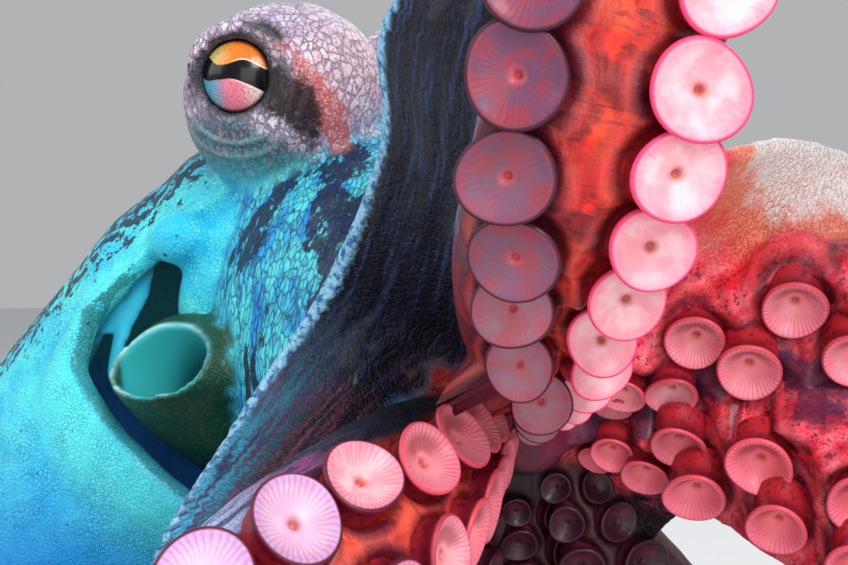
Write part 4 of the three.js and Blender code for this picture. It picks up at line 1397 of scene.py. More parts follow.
    def _hollows(self, g: Graph, base: Paint, place: Socket, grain: Value) -> Socket:
        """The mantle's inside and its lobes, and the funnel, outside and in, with painted shade along the rim's inner
        brink, inside the lip and deep in the funnel.
        """
        inside = g.layered(
            self.hollow,
            (g.mark("deep_low"), self.hollow_blue),
            # Painted shade inside the lip.
            (g.mark("lip_inside"), self.hollow_shade),
            (g.noise(place, 2.4, 4.0, 0.65).step(0.52, 0.7) * 0.5, self.hollow_speck),
            (g.mark("lobe"), self.lobe),
        )
        # Painted shade along the inner brink of the mantle's rim.
        brink = (g.mark("brink") + (grain - 0.5) * 0.9).step(0.35, 0.8)
        return g.layered(
            base,
            (brink * 0.62, self.brink),
            (g.mark("hollow"), inside),
            (g.mark("funnel"), g.mixed(grain.step(0.48, 0.68), self.funnel, self.funnel_speck)),
            # Painted shade deep in the funnel.
            (g.mark("funnel_in"), g.mixed(g.mark("throat"), self.funnel_inside, self.hollow_shade)),
            (g.mark("funnel_lip"), self.funnel_lip),
        )


@dataclass(frozen=True)
class SuckerFinish:
    """Suckers: finely grooved discs, pale, or dark with painted shade, with a thin edge, bright with painted light on
    the first arm's right row, and a maroon wall.
    """

    disc: Colour = (0.92, 0.36, 0.42)
    disc_pale: Colour = (0.96, 0.62, 0.66)
    disc_coral: Colour = (0.99, 0.16, 0.21)
    disc_lavender: Colour = (0.74, 0.56, 0.90)
    disc_shaded: Colour = (0.24, 0.022, 0.045)
    disc_shaded_blue: Colour = (0.12, 0.030, 0.085)
    disc_mouth_shade: Colour = (0.016, 0.005, 0.010)
    blush: Colour = (0.94, 0.16, 0.30)
    heart: Colour = (0.52, 0.10, 0.05)
    heart_shaded: Colour = (0.62, 0.10, 0.12)
    edge: Colour = (0.13, 0.006, 0.030)
    edge_lit: Colour = (0.90, 0.06, 0.18)
    edge_coral: Colour = (0.92, 0.10, 0.13)
    edge_shaded: Colour = (0.045, 0.004, 0.016)
    wall: Colour = (0.22, 0.008, 0.024)
    foot: Colour = (0.45, 0.016, 0.026)
    blush_lavender: Colour = (0.50, 0.22, 0.62)
    disc_shade: Colour = (0.30, 0.020, 0.030)
    speck: Colour = (0.45, 0.10, 0.18)
    groove: Colour = (0.48, 0.05, 0.11)
    groove_shaded: Colour = (0.05, 0.012, 0.03)
    wall_dark: Colour = (0.045, 0.003, 0.012)
    foot_shaded: Colour = (0.12, 0.016, 0.04)
    grooves: int = 38

    def build(self) -> Material:
        """Builds the material: every shape in it follows the disc's own UV map, turns across and spread up."""
        g = Graph("sucker_skin")
        uv = g.node("ShaderNodeUVMap", {"uv_map": "disc"}).outputs[0]
        parts = g.node("ShaderNodeSeparateXYZ", {}, {0: uv})
        turn, out = Value(g, parts.outputs[0]), Value(g, parts.outputs[1])
        # tone: 0 picks the shaded copies of each colour, which paint shade on the first arm's left row and beside the
        # mouth; above 1 paints light on the first arm's right row.
        tone, coral = g.mark("warm"), g.mark("coral")
        place = g.object_mm()
        cloud = g.noise(place, 3.4, 3.0)
        grain = g.noise(place, 0.5, 3.0, 0.7)
        wave = (turn * (2 * math.pi * self.grooves) + cloud * 9.0).sine() * 0.5 + 0.5
        groove = wave.step(0.55, 0.05) * out.step(0.30, 0.62) * out.step(0.99, 0.93)
        # The first arm's right row: painted light, with a brighter edge.
        lit_row = tone.step(1.0, 1.06)
        fine = (1 - lit_row) * tone.step(0.30, 0.75)
        foot = out.step(1.12, 1.32)
        # Painted shade on the upper inner side of the cupped coral discs.
        shaded = out.step(0.20, 0.42) * out.step(0.86, 0.60) * g.mark("upper") * coral.step(0.2, 0.5)
        pale = g.layered(
            self.disc,
            (cloud.step(0.34, 0.68), self.disc_pale),
            (coral * 0.92, self.disc_coral),
            (coral * -0.85, self.disc_lavender),
            (out.step(0.62, 0.97) * 0.55, g.mixed(coral.step(0.0, -0.6), self.blush, self.blush_lavender)),
        )
        # The disc's colour in painted shade.
        shaded_disc = g.mixed(cloud.step(0.35, 0.6), self.disc_shaded, self.disc_shaded_blue)
        lined = groove * (0.06 + 0.22 * fine * out.step(0.35, 0.75)) * (0.4 + grain)
        disc = g.layered(
            g.mixed(tone, shaded_disc, pale),
            (lined, g.mixed(tone, self.groove_shaded, self.groove)),
            (grain.step(0.5, 0.8) * 0.20, self.speck),
            (out.step(0.26, 0.08) * 0.75, g.mixed(tone, self.heart_shaded, self.heart)),
            # Painted shade beside the mouth.
            (tone.step(-0.1, -0.6) * 0.9, self.disc_mouth_shade),
            (shaded * (0.45 + 0.4 * cloud), self.disc_shade),
        )
        edge = g.layered(
            g.mixed(tone, self.edge_shaded, self.edge),
            (lit_row, self.edge_lit),
            (coral.step(0.3, 0.6) * tone * 0.85, self.edge_coral),
        )
        mottled = g.noise(place, 1.1, 4.0, 0.65).step(0.50, 0.66) * 0.75
        wall = g.mixed(mottled, g.mixed(foot, self.wall, self.foot), self.wall_dark)
        wall = g.mixed(tone, g.mixed(foot, self.edge_shaded, self.foot_shaded), wall)
        colour = g.layered(disc, (out.step(0.925, 0.975), edge), (out.step(1.03, 1.07), wall))
        height = 0.6 - groove * (0.1 + 0.35 * fine) + cloud * 0.4 + grain * 0.15
        sockets = {
            "Base Color": colour,
            "Roughness": 0.34 + 0.22 * cloud,
            "Coat Weight": 0.15,
            "Coat Roughness": 0.15,
            "Specular IOR Level": 0.3,
        }
        return g.finish(sockets, height, 0.00020, 0.7)


@dataclass(frozen=True)
class EyeFinish:
    """The eye: grainy gold and pink iris with a level, bar-shaped pupil under a clear wet surface."""

    pupil: Colour = (0.002, 0.002, 0.004)
    orange: Colour = (0.82, 0.20, 0.02)
    yellow: Colour = (0.50, 0.46, 0.12)
    pink: Colour = (0.80, 0.20, 0.28)
    blue: Colour = (0.08, 0.32, 0.46)
    white: Colour = (0.82, 0.70, 0.66)
    speck: Colour = (0.16, 0.03, 0.03)
    halo: Colour = (0.92, 0.80, 0.66)
    rim: Colour = (0.010, 0.010, 0.014)

    def build(self, eye: Eye, placement: Placement) -> Material:
        """Builds the material for one eye, from places measured to the front and up on its own face."""
        g = Graph(f"eye_{'r' if eye.side < 0 else 'l'}")
        centre = np.array(placement.metres(eye.centre)) / MM
        place = g.object_mm()
        ahead = g.along(place, eye.front) - float(centre @ eye.front)
        up = g.along(place, eye.upright) - float(centre @ eye.upright)
        grain = g.noise(place, 0.38, 3.0, 0.7)
        flick = ahead + (grain - 0.5) * 9.0
        upper = g.mixed(flick.step(-4.2, 0.6), self.yellow, self.orange)
        lower = g.layered(self.blue, (flick.step(-3.6, -0.6), self.pink), (flick.step(1.6, 4.8), self.white))
        lean = up + ahead * 0.20 - 0.5 - (ahead * 0.62 + 0.3).sine() * 0.55
        half = 1.35 + ahead.step(-1.0, 3.0) * 0.75 + ahead.step(-2.5, -5.5) * 0.9
        inside = half - g.maths("ABSOLUTE", lean)
        bar = inside.step(-0.10, 0.10)
        colour = g.layered(
            g.mixed(lean.step(-0.3, 0.3), lower, upper),
            (g.noise(place, 0.28, 3.0, 0.7).step(0.53, 0.62) * 0.6, self.speck),
            (inside.step(-0.42, -0.16) * (1 - bar) * ahead.step(-1.0, 2.0) * 0.7, self.halo),
            (bar, self.pupil),
            (((ahead * ahead + up * up) ** 0.5).step(5.7, 6.5), self.rim),
        )
        sockets = {
            "Base Color": colour,
            "Roughness": 0.22,
            "Specular IOR Level": 0.22,
            "Coat Weight": 0.25,
            "Coat Roughness": 0.03,
        }
        return g.finish(sockets, grain, 0.00005, 0.4)


@dataclass(frozen=True)
class FloorFinish:
    """A plain pale floor."""

    colour: Colour = (0.74, 0.75, 0.76)

    def build(self) -> Material:
        """Builds the material, with a faint grain in its roughness."""
        g = Graph("pale_floor")
        grain = g.noise(g.object_mm(), 30.0, 2.0)
        return g.finish({"Base Color": self.colour, "Roughness": 0.55 + 0.1 * grain}, grain, 0.00005, 0.1)


# ------------------------------------------------------------------ the skin


@dataclass
class Skin:
    """All the flesh as one surface.

    The parts are closed shells. They are fused on a fine lattice, evened out so that they flow into one another,
    thinned where they are far from the viewpoint, given folds, and levelled where they lie on the floor.
    """

    placement: Placement
    viewpoint: Viewpoint
    lattice: float = 1.0
    evening: int = 6
    most_triangles: int = 190_000

    def parts(self) -> list[Shell]:
        """Every closed shell of flesh."""
        mantle = Mantle()
        head = Shell.of_rings(loft(HEAD_LINE, 72, 60, up=(0.3, 0.0, 1.0)))
        shells = [mantle.wall_shell(), head, Funnel().shell(), self.lips(), *self.lobes(), *self.collars()]
        shells += [part for eye in EYES.values() for part in (eye.mound_shell(), eye.lids())]
        shells += [arm.limb() for arm in ARMS.values()]
        shells += [web.flesh() for web in WEBS]
        shells += [self.stalks(arm.suckers()) for arm in ARMS.values()]
        return shells

    @staticmethod
    def lobes() -> list[Shell]:
        """The smooth bent leaf that shows inside the mantle's opening, on each side."""
        line = (
            (-27.2, 28.1, 121.5, 1.2, 1.0),
            (-30.0, 28.8, 115.8, 2.5, 1.6),
            (-33.1, 29.8, 108.7, 1.9, 1.3),
            (-35.0, 31.0, 100.9, 1.7, 1.1),
            (-33.3, 31.0, 95.4, 0.9, 0.8),
        )
        sides = {side: [(x, side * y, *rest) for x, y, *rest in line] for side in (-1, 1)}
        return [Shell.of_rings(loft(knots, 20, 40, (0, side, 0))) for side, knots in sides.items()]

    @staticmethod
    def collars() -> list[Shell]:
        """The swelling on each side where the mantle's edge joins the neck, above the opening."""
        shells = []
        for side in (-1, 1):
            swelling = ball(np.zeros(3), (7.5, 8.5, 14.0))
            lean = np.array([0.42, 0.0, 0.0]) * swelling.points[:, 2:]
            place = np.array([-12.6, side * 23.2, 120.0])
            shells.append(Shell(swelling.points + lean + place, swelling.quads, swelling.tris))
            shells.append(ball(np.array([-16.8, side * 31.2, 126.5]), (7.5, 5.0, 5.2)))
        return shells

    @staticmethod
    def lips() -> Shell:
        """The lips: a ball in the middle of the crown."""
        return ball(MOUTH - CROWN_AXIS * 6.0, (7.5,) * 3, tuple(CROWN_AXIS))

    @staticmethod
    def stalks(suckers: Suckers, least: float = 1.4, sides: int = 14) -> Shell:
        """A short pillar of flesh under each larger sucker, wider at its foot where the sucker leans."""
        keep = suckers.radius > least
        seat, normal, radius = suckers.seat[keep], suckers.normal[keep], suckers.radius[keep]
        across = unit(np.cross(normal, suckers.onward[keep]))
        other = np.cross(normal, across)
        angle = np.arange(sides) * 2 * np.pi / sides
        around = np.cos(angle)[None, :, None] * across[:, None] + np.sin(angle)[None, :, None] * other[:, None]
        heights, widths = np.array([-1.3, -0.7, -0.2, 0.05, 0.12]), np.array([0.95, 0.95, 0.92, 0.80, 0.6])
        widths = widths + suckers.lean[keep][:, None] * np.array([0.75, 0.62, 0.38, 0.16, 0.0])
        rings = (
            seat[:, None, None]
            + normal[:, None, None] * (radius[:, None] * heights)[..., None, None]
            + around[:, None] * (radius[:, None] * widths)[..., None, None]
        )
        return Shell.joined([Shell.of_rings(stack) for stack in rings])

    def fused(self) -> bpy.types.Object:
        """Fuses the parts on the lattice and evens the result, in millimetres."""
        obj = bpy.data.objects.new("skin_parts", Shell.joined(self.parts()).mesh("skin_parts"))
        bpy.context.scene.collection.objects.link(obj)
        remesh = obj.modifiers.new("fuse", "REMESH")
        remesh.mode, remesh.voxel_size, remesh.use_smooth_shade = "VOXEL", self.lattice, True
        even = obj.modifiers.new("even", "SMOOTH")
        even.factor, even.iterations = 0.5, self.evening
        return self._applied(obj)

    @staticmethod
    def _applied(obj: bpy.types.Object) -> bpy.types.Object:
        """The object with its modifiers made part of its mesh."""
        bpy.context.view_layer.update()
        evaluated = obj.evaluated_get(bpy.context.evaluated_depsgraph_get())
        mesh = bpy.data.meshes.new_from_object(evaluated)
        obj.modifiers.clear()
        old = obj.data
        obj.data = mesh
        bpy.data.meshes.remove(old)
        return obj

    def thinned(self, obj: bpy.types.Object) -> bpy.types.Object:
        """Takes triangles away, mostly where the skin is far from the viewpoint."""
        points = points_of(obj.data)
        faces_camera = smooth(self.viewpoint.facing(points, normals_of(obj.data)), -0.35, -0.05)
        levels = np.round((1 - self.viewpoint.closeness(points) * faces_camera) * 5).astype(int)
        group = obj.vertex_groups.new(name="far")
        for level in range(6):
            group.add(np.flatnonzero(levels == level).tolist(), max(0.03, level / 5), "REPLACE")
        have = sum(len(p.vertices) - 2 for p in obj.data.polygons)
        thin = obj.modifiers.new("thin", "DECIMATE")
        thin.ratio = min(1.0, self.most_triangles / have)
        thin.vertex_group = "far"
        thin.vertex_group_factor = 1.0
        LOG.info("skin: %d triangles before thinning", have)
        obj = self._applied(obj)
        obj.vertex_groups.clear()
        return obj

    def build(self) -> bpy.types.Object:
        """Makes the skin, its marks and its material."""
        obj = self.thinned(self.fused())
        mesh = obj.data
        points, edges = points_of(mesh), rows_of(mesh.edges, "vertices", 2, np.int32)
        zones = SkinZones(points, normals_of(mesh), edges)
        points = zones.freed(points + normals_of(mesh) * zones.relief()[:, None] + zones.pressed())
        points[:, 2] = np.maximum(points[:, 2], 0.02)
        metres = (points + np.array(self.placement.shift)) * MM
        mesh.vertices.foreach_set("co", metres.astype(np.float32).ravel())
        mesh.polygons.foreach_set("use_smooth", np.ones(len(mesh.polygons), bool))
        mesh.update()
        for name, values in zones.marks().items():
            set_attribute(mesh, name, values)
        obj.name = mesh.name = "skin"
        mesh.materials.clear()
        mesh.materials.append(SkinFinish().build())
        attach(obj, "root")
        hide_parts(*SKIN_NAMES)
        LOG.info("skin: %d triangles", sum(len(p.vertices) - 2 for p in mesh.polygons))
        return obj


@dataclass
class SkinZones:
    """Which part of the animal each point of the skin belongs to, and the marks that follow from it."""

    points: Array
    normals: Array
    edges: Array

    def __post_init__(self) -> None:
        """Finds the nearest arm, web, head, mantle or funnel place for every point."""
        clouds = self._clouds()
        labels = np.concatenate([np.full(len(cloud), i) for i, (_, cloud) in enumerate(clouds)])
        names = [name for name, _ in clouds]
        found = labels[nearest(self.points, np.vstack([cloud for _, cloud in clouds]))]
        self.part = {name: found == i for i, name in enumerate(names)}
        self._read_arms()
        self._read_mantle()
        self._read_web()
        self._read_suckers()

    @staticmethod
    def _clouds() -> list[tuple[str, Array]]:
        """Sparse points of each part's own surface."""
        return [
            ("mantle", Mantle().wall_shell(64).points),
            ("head", Shell.of_rings(loft(HEAD_LINE, 48, 30, up=(0.3, 0.0, 1.0))).points),
            ("collar", np.vstack([collar.points[::3] for collar in Skin.collars()])),
            ("mound", np.vstack([eye.mound_shell().points[::7] for eye in EYES.values()])),
            ("funnel", Funnel(36).shell().points),
            ("lobe", np.vstack([lobe.points for lobe in Skin.lobes()])),
            ("web_main", WEBS[1].sheet(50, 30).middle.reshape(-1, 3)),
            ("web", np.vstack([web.sheet(36, 16).middle.reshape(-1, 3) for web in WEBS[:1] + WEBS[2:]])),
            ("arm", np.vstack([arm.limb(14, 5.0).points for arm in ARMS.values()])),
        ]

    def _read_mantle(self) -> None:
        """Each point's place in the mantle: down its axis, round it, inside its surface and past its edge."""
        mantle = Mantle()
        offset = self.points - np.array(mantle.start)
        self.mantle_down, back = offset @ mantle.axis, offset @ mantle.back
        self.mantle_back = back - 22.0
        width, height = eased(mantle.half_widths, self.mantle_down), eased(mantle.half_heights, self.mantle_down)
        self.mantle_inset = 1 - np.hypot(offset[:, 1] / width, back / height)
        self.mantle_angle = np.arctan2(offset[:, 1] / width, back / height)
        self.mantle_rim = self.mantle_down - mantle.edge(self.mantle_angle % (2 * np.pi))

    def _read_web(self) -> None:
        """Each point's nearest web place, and its pattern coordinates there."""
        sheets = [web.sheet() for web in WEBS]
        middle, normal, onward, outward = (
            np.vstack([getattr(sheet, name).reshape(-1, 3) for sheet in sheets])
            for name in ("middle", "normal", "onward", "outward")
        )
        i = nearest(self.points, middle)
        offset = self.points - middle[i]
        along = np.concatenate([sheet.along.ravel() for sheet in sheets])[i]
        out = np.concatenate([sheet.out.ravel() for sheet in sheets])[i]
        along = along + dot(offset, onward[i]) / (dot(onward[i], onward[i]) + 25)
        out = out + dot(offset, outward[i]) / (dot(outward[i], outward[i]) + 25)
        self.web_normal, self.web_out = normal[i], out
        self.web_main = self.mask("web_main", 2)
        self.web_first = self._evened(i < sheets[0].along.size, 3)
        web_flow = np.stack([along * 150.0, out * 60.0, np.zeros_like(out)], axis=1)
        arm_flow = np.stack([self.distance, self.out * 12, self.deep * 12], axis=1)
        self.flow = np.where(self.part["web_main"][:, None], web_flow, arm_flow)

    def _read_arms(self) -> None:
        """Each point's nearest arm, its distance along it and its offsets to the side and the sucker side."""
        stops = {name: np.arange(0, arm.length, 3.0) for name, arm in ARMS.items()}
        centres = np.vstack([ARMS[name].at(d)[0] for name, d in stops.items()])
        which = np.concatenate([np.full(len(d), i) for i, d in enumerate(stops.values())])
        places = np.concatenate(list(stops.values()))
        found = nearest(self.points, centres)
        self.arm_index, distance = which[found], places[found]
        pair = [ARMS[name].at(np.arange(0, 150, 2.0))[0] for name in ("l1", "l2")]
        reach = [np.linalg.norm(self.points - line[nearest(self.points, line)], axis=1) for line in pair]
        # between: painted shade where the first two left arms meet.
        self.between = (1 - smooth(np.abs(reach[0] - reach[1]), 2.5, 10.0)) * (1 - smooth(reach[0], 26, 34))
        self.distance = np.zeros(len(self.points))
        self.out = np.zeros(len(self.points))
        self.deep = np.zeros(len(self.points))
        for i, arm in enumerate(ARMS.values()):
            mine = self.arm_index == i
            d = distance[mine]
            centre, tangent, _, _ = arm.at(d)
            d = d + np.clip(dot(self.points[mine] - centre, tangent), -3, 3)
            centre, _, oral, side = arm.at(d)
            offset = self.points[mine] - centre
            self.distance[mine] = d
            self.out[mine] = dot(offset, side) / arm.half_width(d)
            self.deep[mine] = dot(offset, oral) / arm.half_depth(d)

    def _read_suckers(self) -> None:
        """Each point's place beside the nearest larger sucker, in shares of that sucker's radius."""
        rows = [arm.suckers() for arm in ARMS.values()]
        seat, normal = np.vstack([row.seat for row in rows]), np.vstack([row.normal for row in rows])
        radius = np.concatenate([row.radius for row in rows])
        large = radius > 2.0
        i = nearest(self.points, (seat + normal * radius[:, None] * 0.7)[large])
        seat, normal, radius = seat[large][i], normal[large][i], radius[large][i]
        offset = (self.points - seat) / radius[:, None]
        self.above = dot(offset, normal)
        self.beside = np.linalg.norm(offset - normal * self.above[:, None], axis=1)
        self.sucker_radius, self.sucker_normal = radius, normal

    def pressed(self) -> Array:
        """Fine folds round the larger suckers, as moves of each point in millimetres."""
        ripple = 0.055 * np.sin((self.beside - 1.0) * 2 * np.pi / 0.42) * bell(self.beside, 1.45, 0.40)
        ripple = ripple * smooth(self.above, -1.6, -0.8) * (self.above < 1.6) * self.mask("arm")
        return self.sucker_normal * (ripple * self.sucker_radius)[:, None]

    def freed(self, points: Array) -> Array:
        """The flesh held clear of the discs, with the hollows that this leaves evened out."""
        moved = self.cleared(points) - points
        evened = np.stack([self._evened(column, 5) for column in moved.T], axis=1)
        return self.cleared(points + evened)

    @staticmethod
    def cleared(points: Array) -> Array:
        """Points of the flesh held down in front of each large sucker near the viewpoint, so that its disc is free."""
        points = points.copy()
        for arm in (*ARMS.values(), *reversed(ARMS.values())):
            suckers = arm.suckers()
            near = (suckers.radius > 2.0) & (Viewpoint().closeness(suckers.seat) > 0.3)
            for seat, normal, radius in zip(suckers.seat[near], suckers.normal[near], suckers.radius[near]):
                close = np.flatnonzero(np.linalg.norm(points - seat, axis=1) < 2.6 * radius)
                offset = (points[close] - seat) / radius
                above = offset @ normal
                beside = np.linalg.norm(offset - above[:, None] * normal, axis=1)
                limit = 0.38 * smooth(beside, 0.72, 0.98) + 0.9 * np.maximum(0.0, beside - 1.04)
                over = np.maximum(0.0, above - limit) * (1 - smooth(beside, 1.3, 1.9))
                points[close] -= normal * (over * radius)[:, None]
        return points

    def mask(self, name: str, times: int = 3) -> Array:
        """A part's share at each point, evened over the surface."""
        return self._evened(self.part[name], times)

    def _evened(self, share: Array, times: int) -> Array:
        """A number or a yes for each point, evened over the surface."""
        return spread(share.astype(float), self.edges, times)

    def _on_arms(self, *names: str) -> Array:
        """Whether the nearest arm of each point is one of these."""
        return np.isin(np.array(list(ARMS))[self.arm_index], names)

    def relief(self) -> Array:
        """How far each point moves out, in millimetres: warts on head and mantle, folds on the arms."""
        body = np.clip(self.mask("head") + self.mask("mantle") + self.mask("mound"), 0, 1)
        warts = lattice_noise(self.points, 5.0, 3) * 0.35 + lattice_noise(self.points, 2.4, 5) * 0.20
        arm = self.mask("arm")
        slant = self.distance + self.out * 4.0 + lattice_noise(self.points, 9.0, 8) * 3.0
        folds = np.sin(slant * 0.95) * 0.20 * smooth(self.deep, 0.2, 0.7) * smooth(self.distance, 40, 70)
        folds = folds * (1 - smooth(self.distance, 150, 200))
        ribs = lattice_noise(self.flow * np.array([0.14, 1.0, 1.0]), 2.6, 13) * 0.45 * self.web_main
        wrinkles = lattice_noise(self.points, 3.0, 9) * 0.12
        return body * warts * 0.55 + self._eye_creases() + arm * (folds + wrinkles) + ribs

    def _eye_creases(self) -> Array:
        """Rings of fine folds round each eye, deepest under it."""
        total = np.zeros(len(self.points))
        for eye in EYES.values():
            front, up, out = eye.face(self.points)
            ring = np.hypot(front, up)
            under = mix(0.35, 1.0, smooth(-up, -4, 8))
            total += np.cos((ring - 9.4) * 2 * np.pi / 2.5) * 0.30 * under * smooth(out, -3, 1) * bell(ring, 12.5, 3.4)
        return total

    def marks(self) -> dict[str, Array]:
        """The attributes that the material reads."""
        across, _, _ = Viewpoint().across_up_depth(self.points)
        x, z = self.points[:, 0], self.points[:, 2]
        head, mound = self.mask("head"), self.mask("mound", 6)
        mantle = self.mask("mantle", 2) + self.mask("collar")
        arm, web = self.mask("arm"), self.mask("web")
        left = self._evened(self._on_arms("l1", "l2", "l3", "l4") & (self.part["arm"] | self.part["web"]), 5)
        warm = np.maximum(smooth(across, 4, 34), left * smooth(across, -40, 20))
        near_arm = self._evened(self._on_arms("r2"), 3)
        sucker_side = smooth(self.deep - 0.6 * near_arm * self.out, -0.10, 0.35)
        facing = dot(self.normals, self.web_normal)
        # inner: the web's inner face, which takes painted shade.
        inner = (self.web_main + web * (1 - self.web_first)) * smooth(facing, -0.25, 0.2)
        beside_mouth = self._evened(self._on_arms("l3", "l4", "r3", "r4"), 4)
        shaded = beside_mouth * (1 - smooth(self.distance, 70, 150)) * np.clip(arm + web, 0, 1)
        # socket: where painted shade lies in the folds round the suckers.
        socket = smooth(self.above, -1.7, -0.7) * (self.above < 1.8)
        first = self._evened(self._on_arms("r1"), 3)
        back = np.degrees(np.abs(self.mantle_angle))
        cool_arm = self._evened(self._on_arms("r2", "r3", "r4") & self.part["arm"], 3)
        # Painted shade on the first arm's left side and towards the left.
        murky = first * smooth(-self.out, 0.0, 0.6) * 0.75 + (1 - smooth(across, -60, -20)) * 0.4
        folds = smooth(np.sin(self.distance * 0.42 + self.out * 1.2), 0.2, 1.0)
        rings = bell(self.beside, 1.06, 0.22) + 0.6 * bell(self.beside, 1.58, 0.13)
        marks = {
            "warm": warm * (1 - self.web_main) * (1 - cool_arm),
            "oral": np.clip(arm * sucker_side + self.between, 0, 1),
            "web_inner": np.clip(inner, 0, 1),
            "web_low": np.maximum((1 - smooth(z, 84, 116)) * 0.9, np.clip(web - self.web_main, 0, 1)),
            "socket": np.clip(rings, 0, 1) * socket,
            "collar_light": bell(self.beside, 1.34, 0.12) * socket,
            "shaded": np.clip(shaded, 0, 1),
            "between": self.between,
            # rim: painted rim light along the main web's free edge.
            "rim": self.web_main * smooth(self.web_out, 0.93, 0.955),
            "ribbed": np.clip(inner + arm * 0.4, 0, 1),
            "head": np.clip(head + web + self.web_main, 0, 1) * (1 - arm),
            "limb": arm,
            "inward": arm * (1 - smooth(self.distance, 40, 84)),
            "mound": np.clip(mound, 0, 1) * smooth(z, 131, 143),
            "under": 1 - smooth(z + 0.7 * np.maximum(x - 3, 0), 145, 151.5),
            "rosy": smooth(x, 8, 18) * smooth(z, 146, 156),
            "low": 1 - smooth(z, 55, 105),
            # Painted highlight along the lip of the mantle's opening.
            "glow": mantle * bell(self.mantle_rim, 6.0, 9.0) * 0.8,
            # Painted shade along the inner brink of the mantle's rim.
            "brink": self.mask("mantle", 1) * bell(self.mantle_rim, -1.4, 1.5) * smooth(back, 60, 68),
            "fold": folds * smooth(self.distance, 30, 60),
            "grainy": self._evened(self._on_arms("l1", "l2"), 4),
            "murky": np.clip(murky, 0, 1) * (1 - 0.6 * near_arm),
            "pale": smooth(z, 117, 137) * smooth(across, 40, 58) * (1 - first),
            "web_cool": self.web_main * smooth(self.web_out, 0.60, 0.90) * (1 - smooth(z, 76, 118)) * 0.9,
            "blotch": self._blotches(head, mantle, back),
            "flow": self.flow,
        }
        marks.update(self._eye_marks())
        marks.update(self._hollow_marks())
        marks["smooth"] = np.clip(marks["funnel_in"] + marks["lobe"] + marks["funnel"] * 0.6, 0, 1)
        return marks

    def _blotches(self, head: Array, mantle: Array, back: Array) -> Array:
        """Where navy flecks gather: down the sides of the head, along the web, and on the mantle's back."""
        streaks = lattice_noise(self.points * np.array([1, 1, 0.5]), 7.0, 21)
        on_back = 1 - smooth(back, 42, 68)
        beside = np.clip(self.mask("web") + self.web_main + head, 0, 1)
        return np.clip(mantle * on_back * 0.72 + beside * smooth(streaks, 0.05, 0.5) * 0.8, 0, 1)

    def _eye_marks(self) -> dict[str, Array]:
        """The dark bar before each eye and its red end, the rings of folds, the dark lines of the lids, and painted
        shade behind each eye.
        """
        total = {name: np.zeros(len(self.points)) for name in ("patch", "patch_red", "lid_dark", "ring", "shade")}
        for eye in EYES.values():
            offset = self.points - eye.centre
            sideways = np.array([0.0, eye.side, 0.0])
            ahead, up = offset[:, 0], offset[:, 2]
            outward = offset @ sideways + eye.out
            turn = np.degrees(np.arctan2(ahead, outward))
            mine = (np.linalg.norm(self.points - eye.mound, axis=1) < 22.5) & (self.points[:, 1] * eye.side > 2)
            past = np.clip(turn - 22, 0, 45)
            middle = -0.8 - 0.11 * past - 0.0035 * past**2
            bar = bell(up, middle, 6.6) * smooth(turn, 13, 20) * (1 - smooth(turn, 50, 66))
            total["patch"] += bar * mine
            red = bell(up, -2.2 - 0.36 * (turn - 50), 5.4) * smooth(turn, 36, 47) * (1 - smooth(turn, 68, 86))
            brow = bell(up, 6.0, 3.6) * bell(turn, 34, 12) * 0.48
            total["patch_red"] += np.maximum(red * 0.95, brow) * mine
            front, high, out = eye.face(self.points)
            ring = np.hypot(front, high)
            lids = bell(ring, eye.opening + 0.5, 0.9)
            above = smooth(high - 0.6 * front, -2.0, 4.0)
            fold = bell(ring, 10.6, 1.1) * above * 0.7 + above * smooth(ring, 7, 8) * (1 - smooth(ring, 10, 12)) * 0.5
            total["lid_dark"] += np.clip(lids * 0.9 + fold, 0, 0.95) * smooth(out, 1, 4) * mine
            total["ring"] += (0.5 + 0.5 * np.cos((ring - 9.4) * 2 * np.pi / 2.5)) * bell(ring, 12.5, 4.0) * (out > -4)
            beside = smooth(offset @ sideways, 1.0, 9.0)
            # Painted shade behind each eye.
            total["shade"] += smooth(-ahead, 3.0, 8.0) * beside * smooth(up, -5, 0) * (1 - smooth(up, 13, 18)) * mine
        return {name: np.clip(values, 0, 1) for name, values in total.items()}

    def _hollow_marks(self) -> dict[str, Array]:
        """The mantle's inner face, its lobes, and the funnel's outside, inside and lip, with painted shade inside the
        mantle's lip and deep in the funnel.
        """
        inner = (self.part["mantle"] | self.part["head"]) * smooth(self.mantle_inset, 0.10, 0.13)
        inner = inner * smooth(self.mantle_rim, -1.0, 2.0) * (self.mantle_down < 75)
        line = np.array(FUNNEL_LINE, float)
        end, way = line[-1], unit(line[-1] - line[-2])
        beyond = (self.points - end) @ way
        outward = np.linalg.norm(self.points - end - beyond[:, None] * way, axis=1)
        along = catmull_rom(line, np.linspace(0, 4, 80))
        i = nearest(self.points, along)
        tangent = unit(np.gradient(along, axis=0))[i]
        offset = self.points - along[i]
        radial = offset - tangent * dot(offset, tangent)[:, None]
        inside = (dot(self.normals, radial) < 0) * (np.linalg.norm(radial, axis=1) < 9.2)
        tube = self.part["funnel"] & (i > 24)
        return {
            "hollow": self._evened(np.clip(inner + self.part["lobe"], 0, 1), 1),
            "lobe": self.mask("lobe", 2),
            "deep_low": 1 - smooth(self.points[:, 2], 92, 108),
            # Painted shade just inside the mantle's lip.
            "lip_inside": (1 - smooth(self.mantle_rim, 3.0, 9.0)) * smooth(-self.mantle_back, 0.0, 8.0) * 0.8,
            "funnel": self._evened(tube, 2),
            # Painted shade deep in the funnel, towards one side.
            "throat": smooth(radial @ np.array([0.7, 0.5, 0.3]) - 0.5 * beyond, 3.0, 10.0),
            "funnel_in": self._evened(inside & tube, 1),
            "funnel_lip": self._evened(smooth(beyond, -0.3, 0.3) * smooth(outward, 6.5, 8.0) * tube, 1),
        }


# ------------------------------------------------------------------ suckers


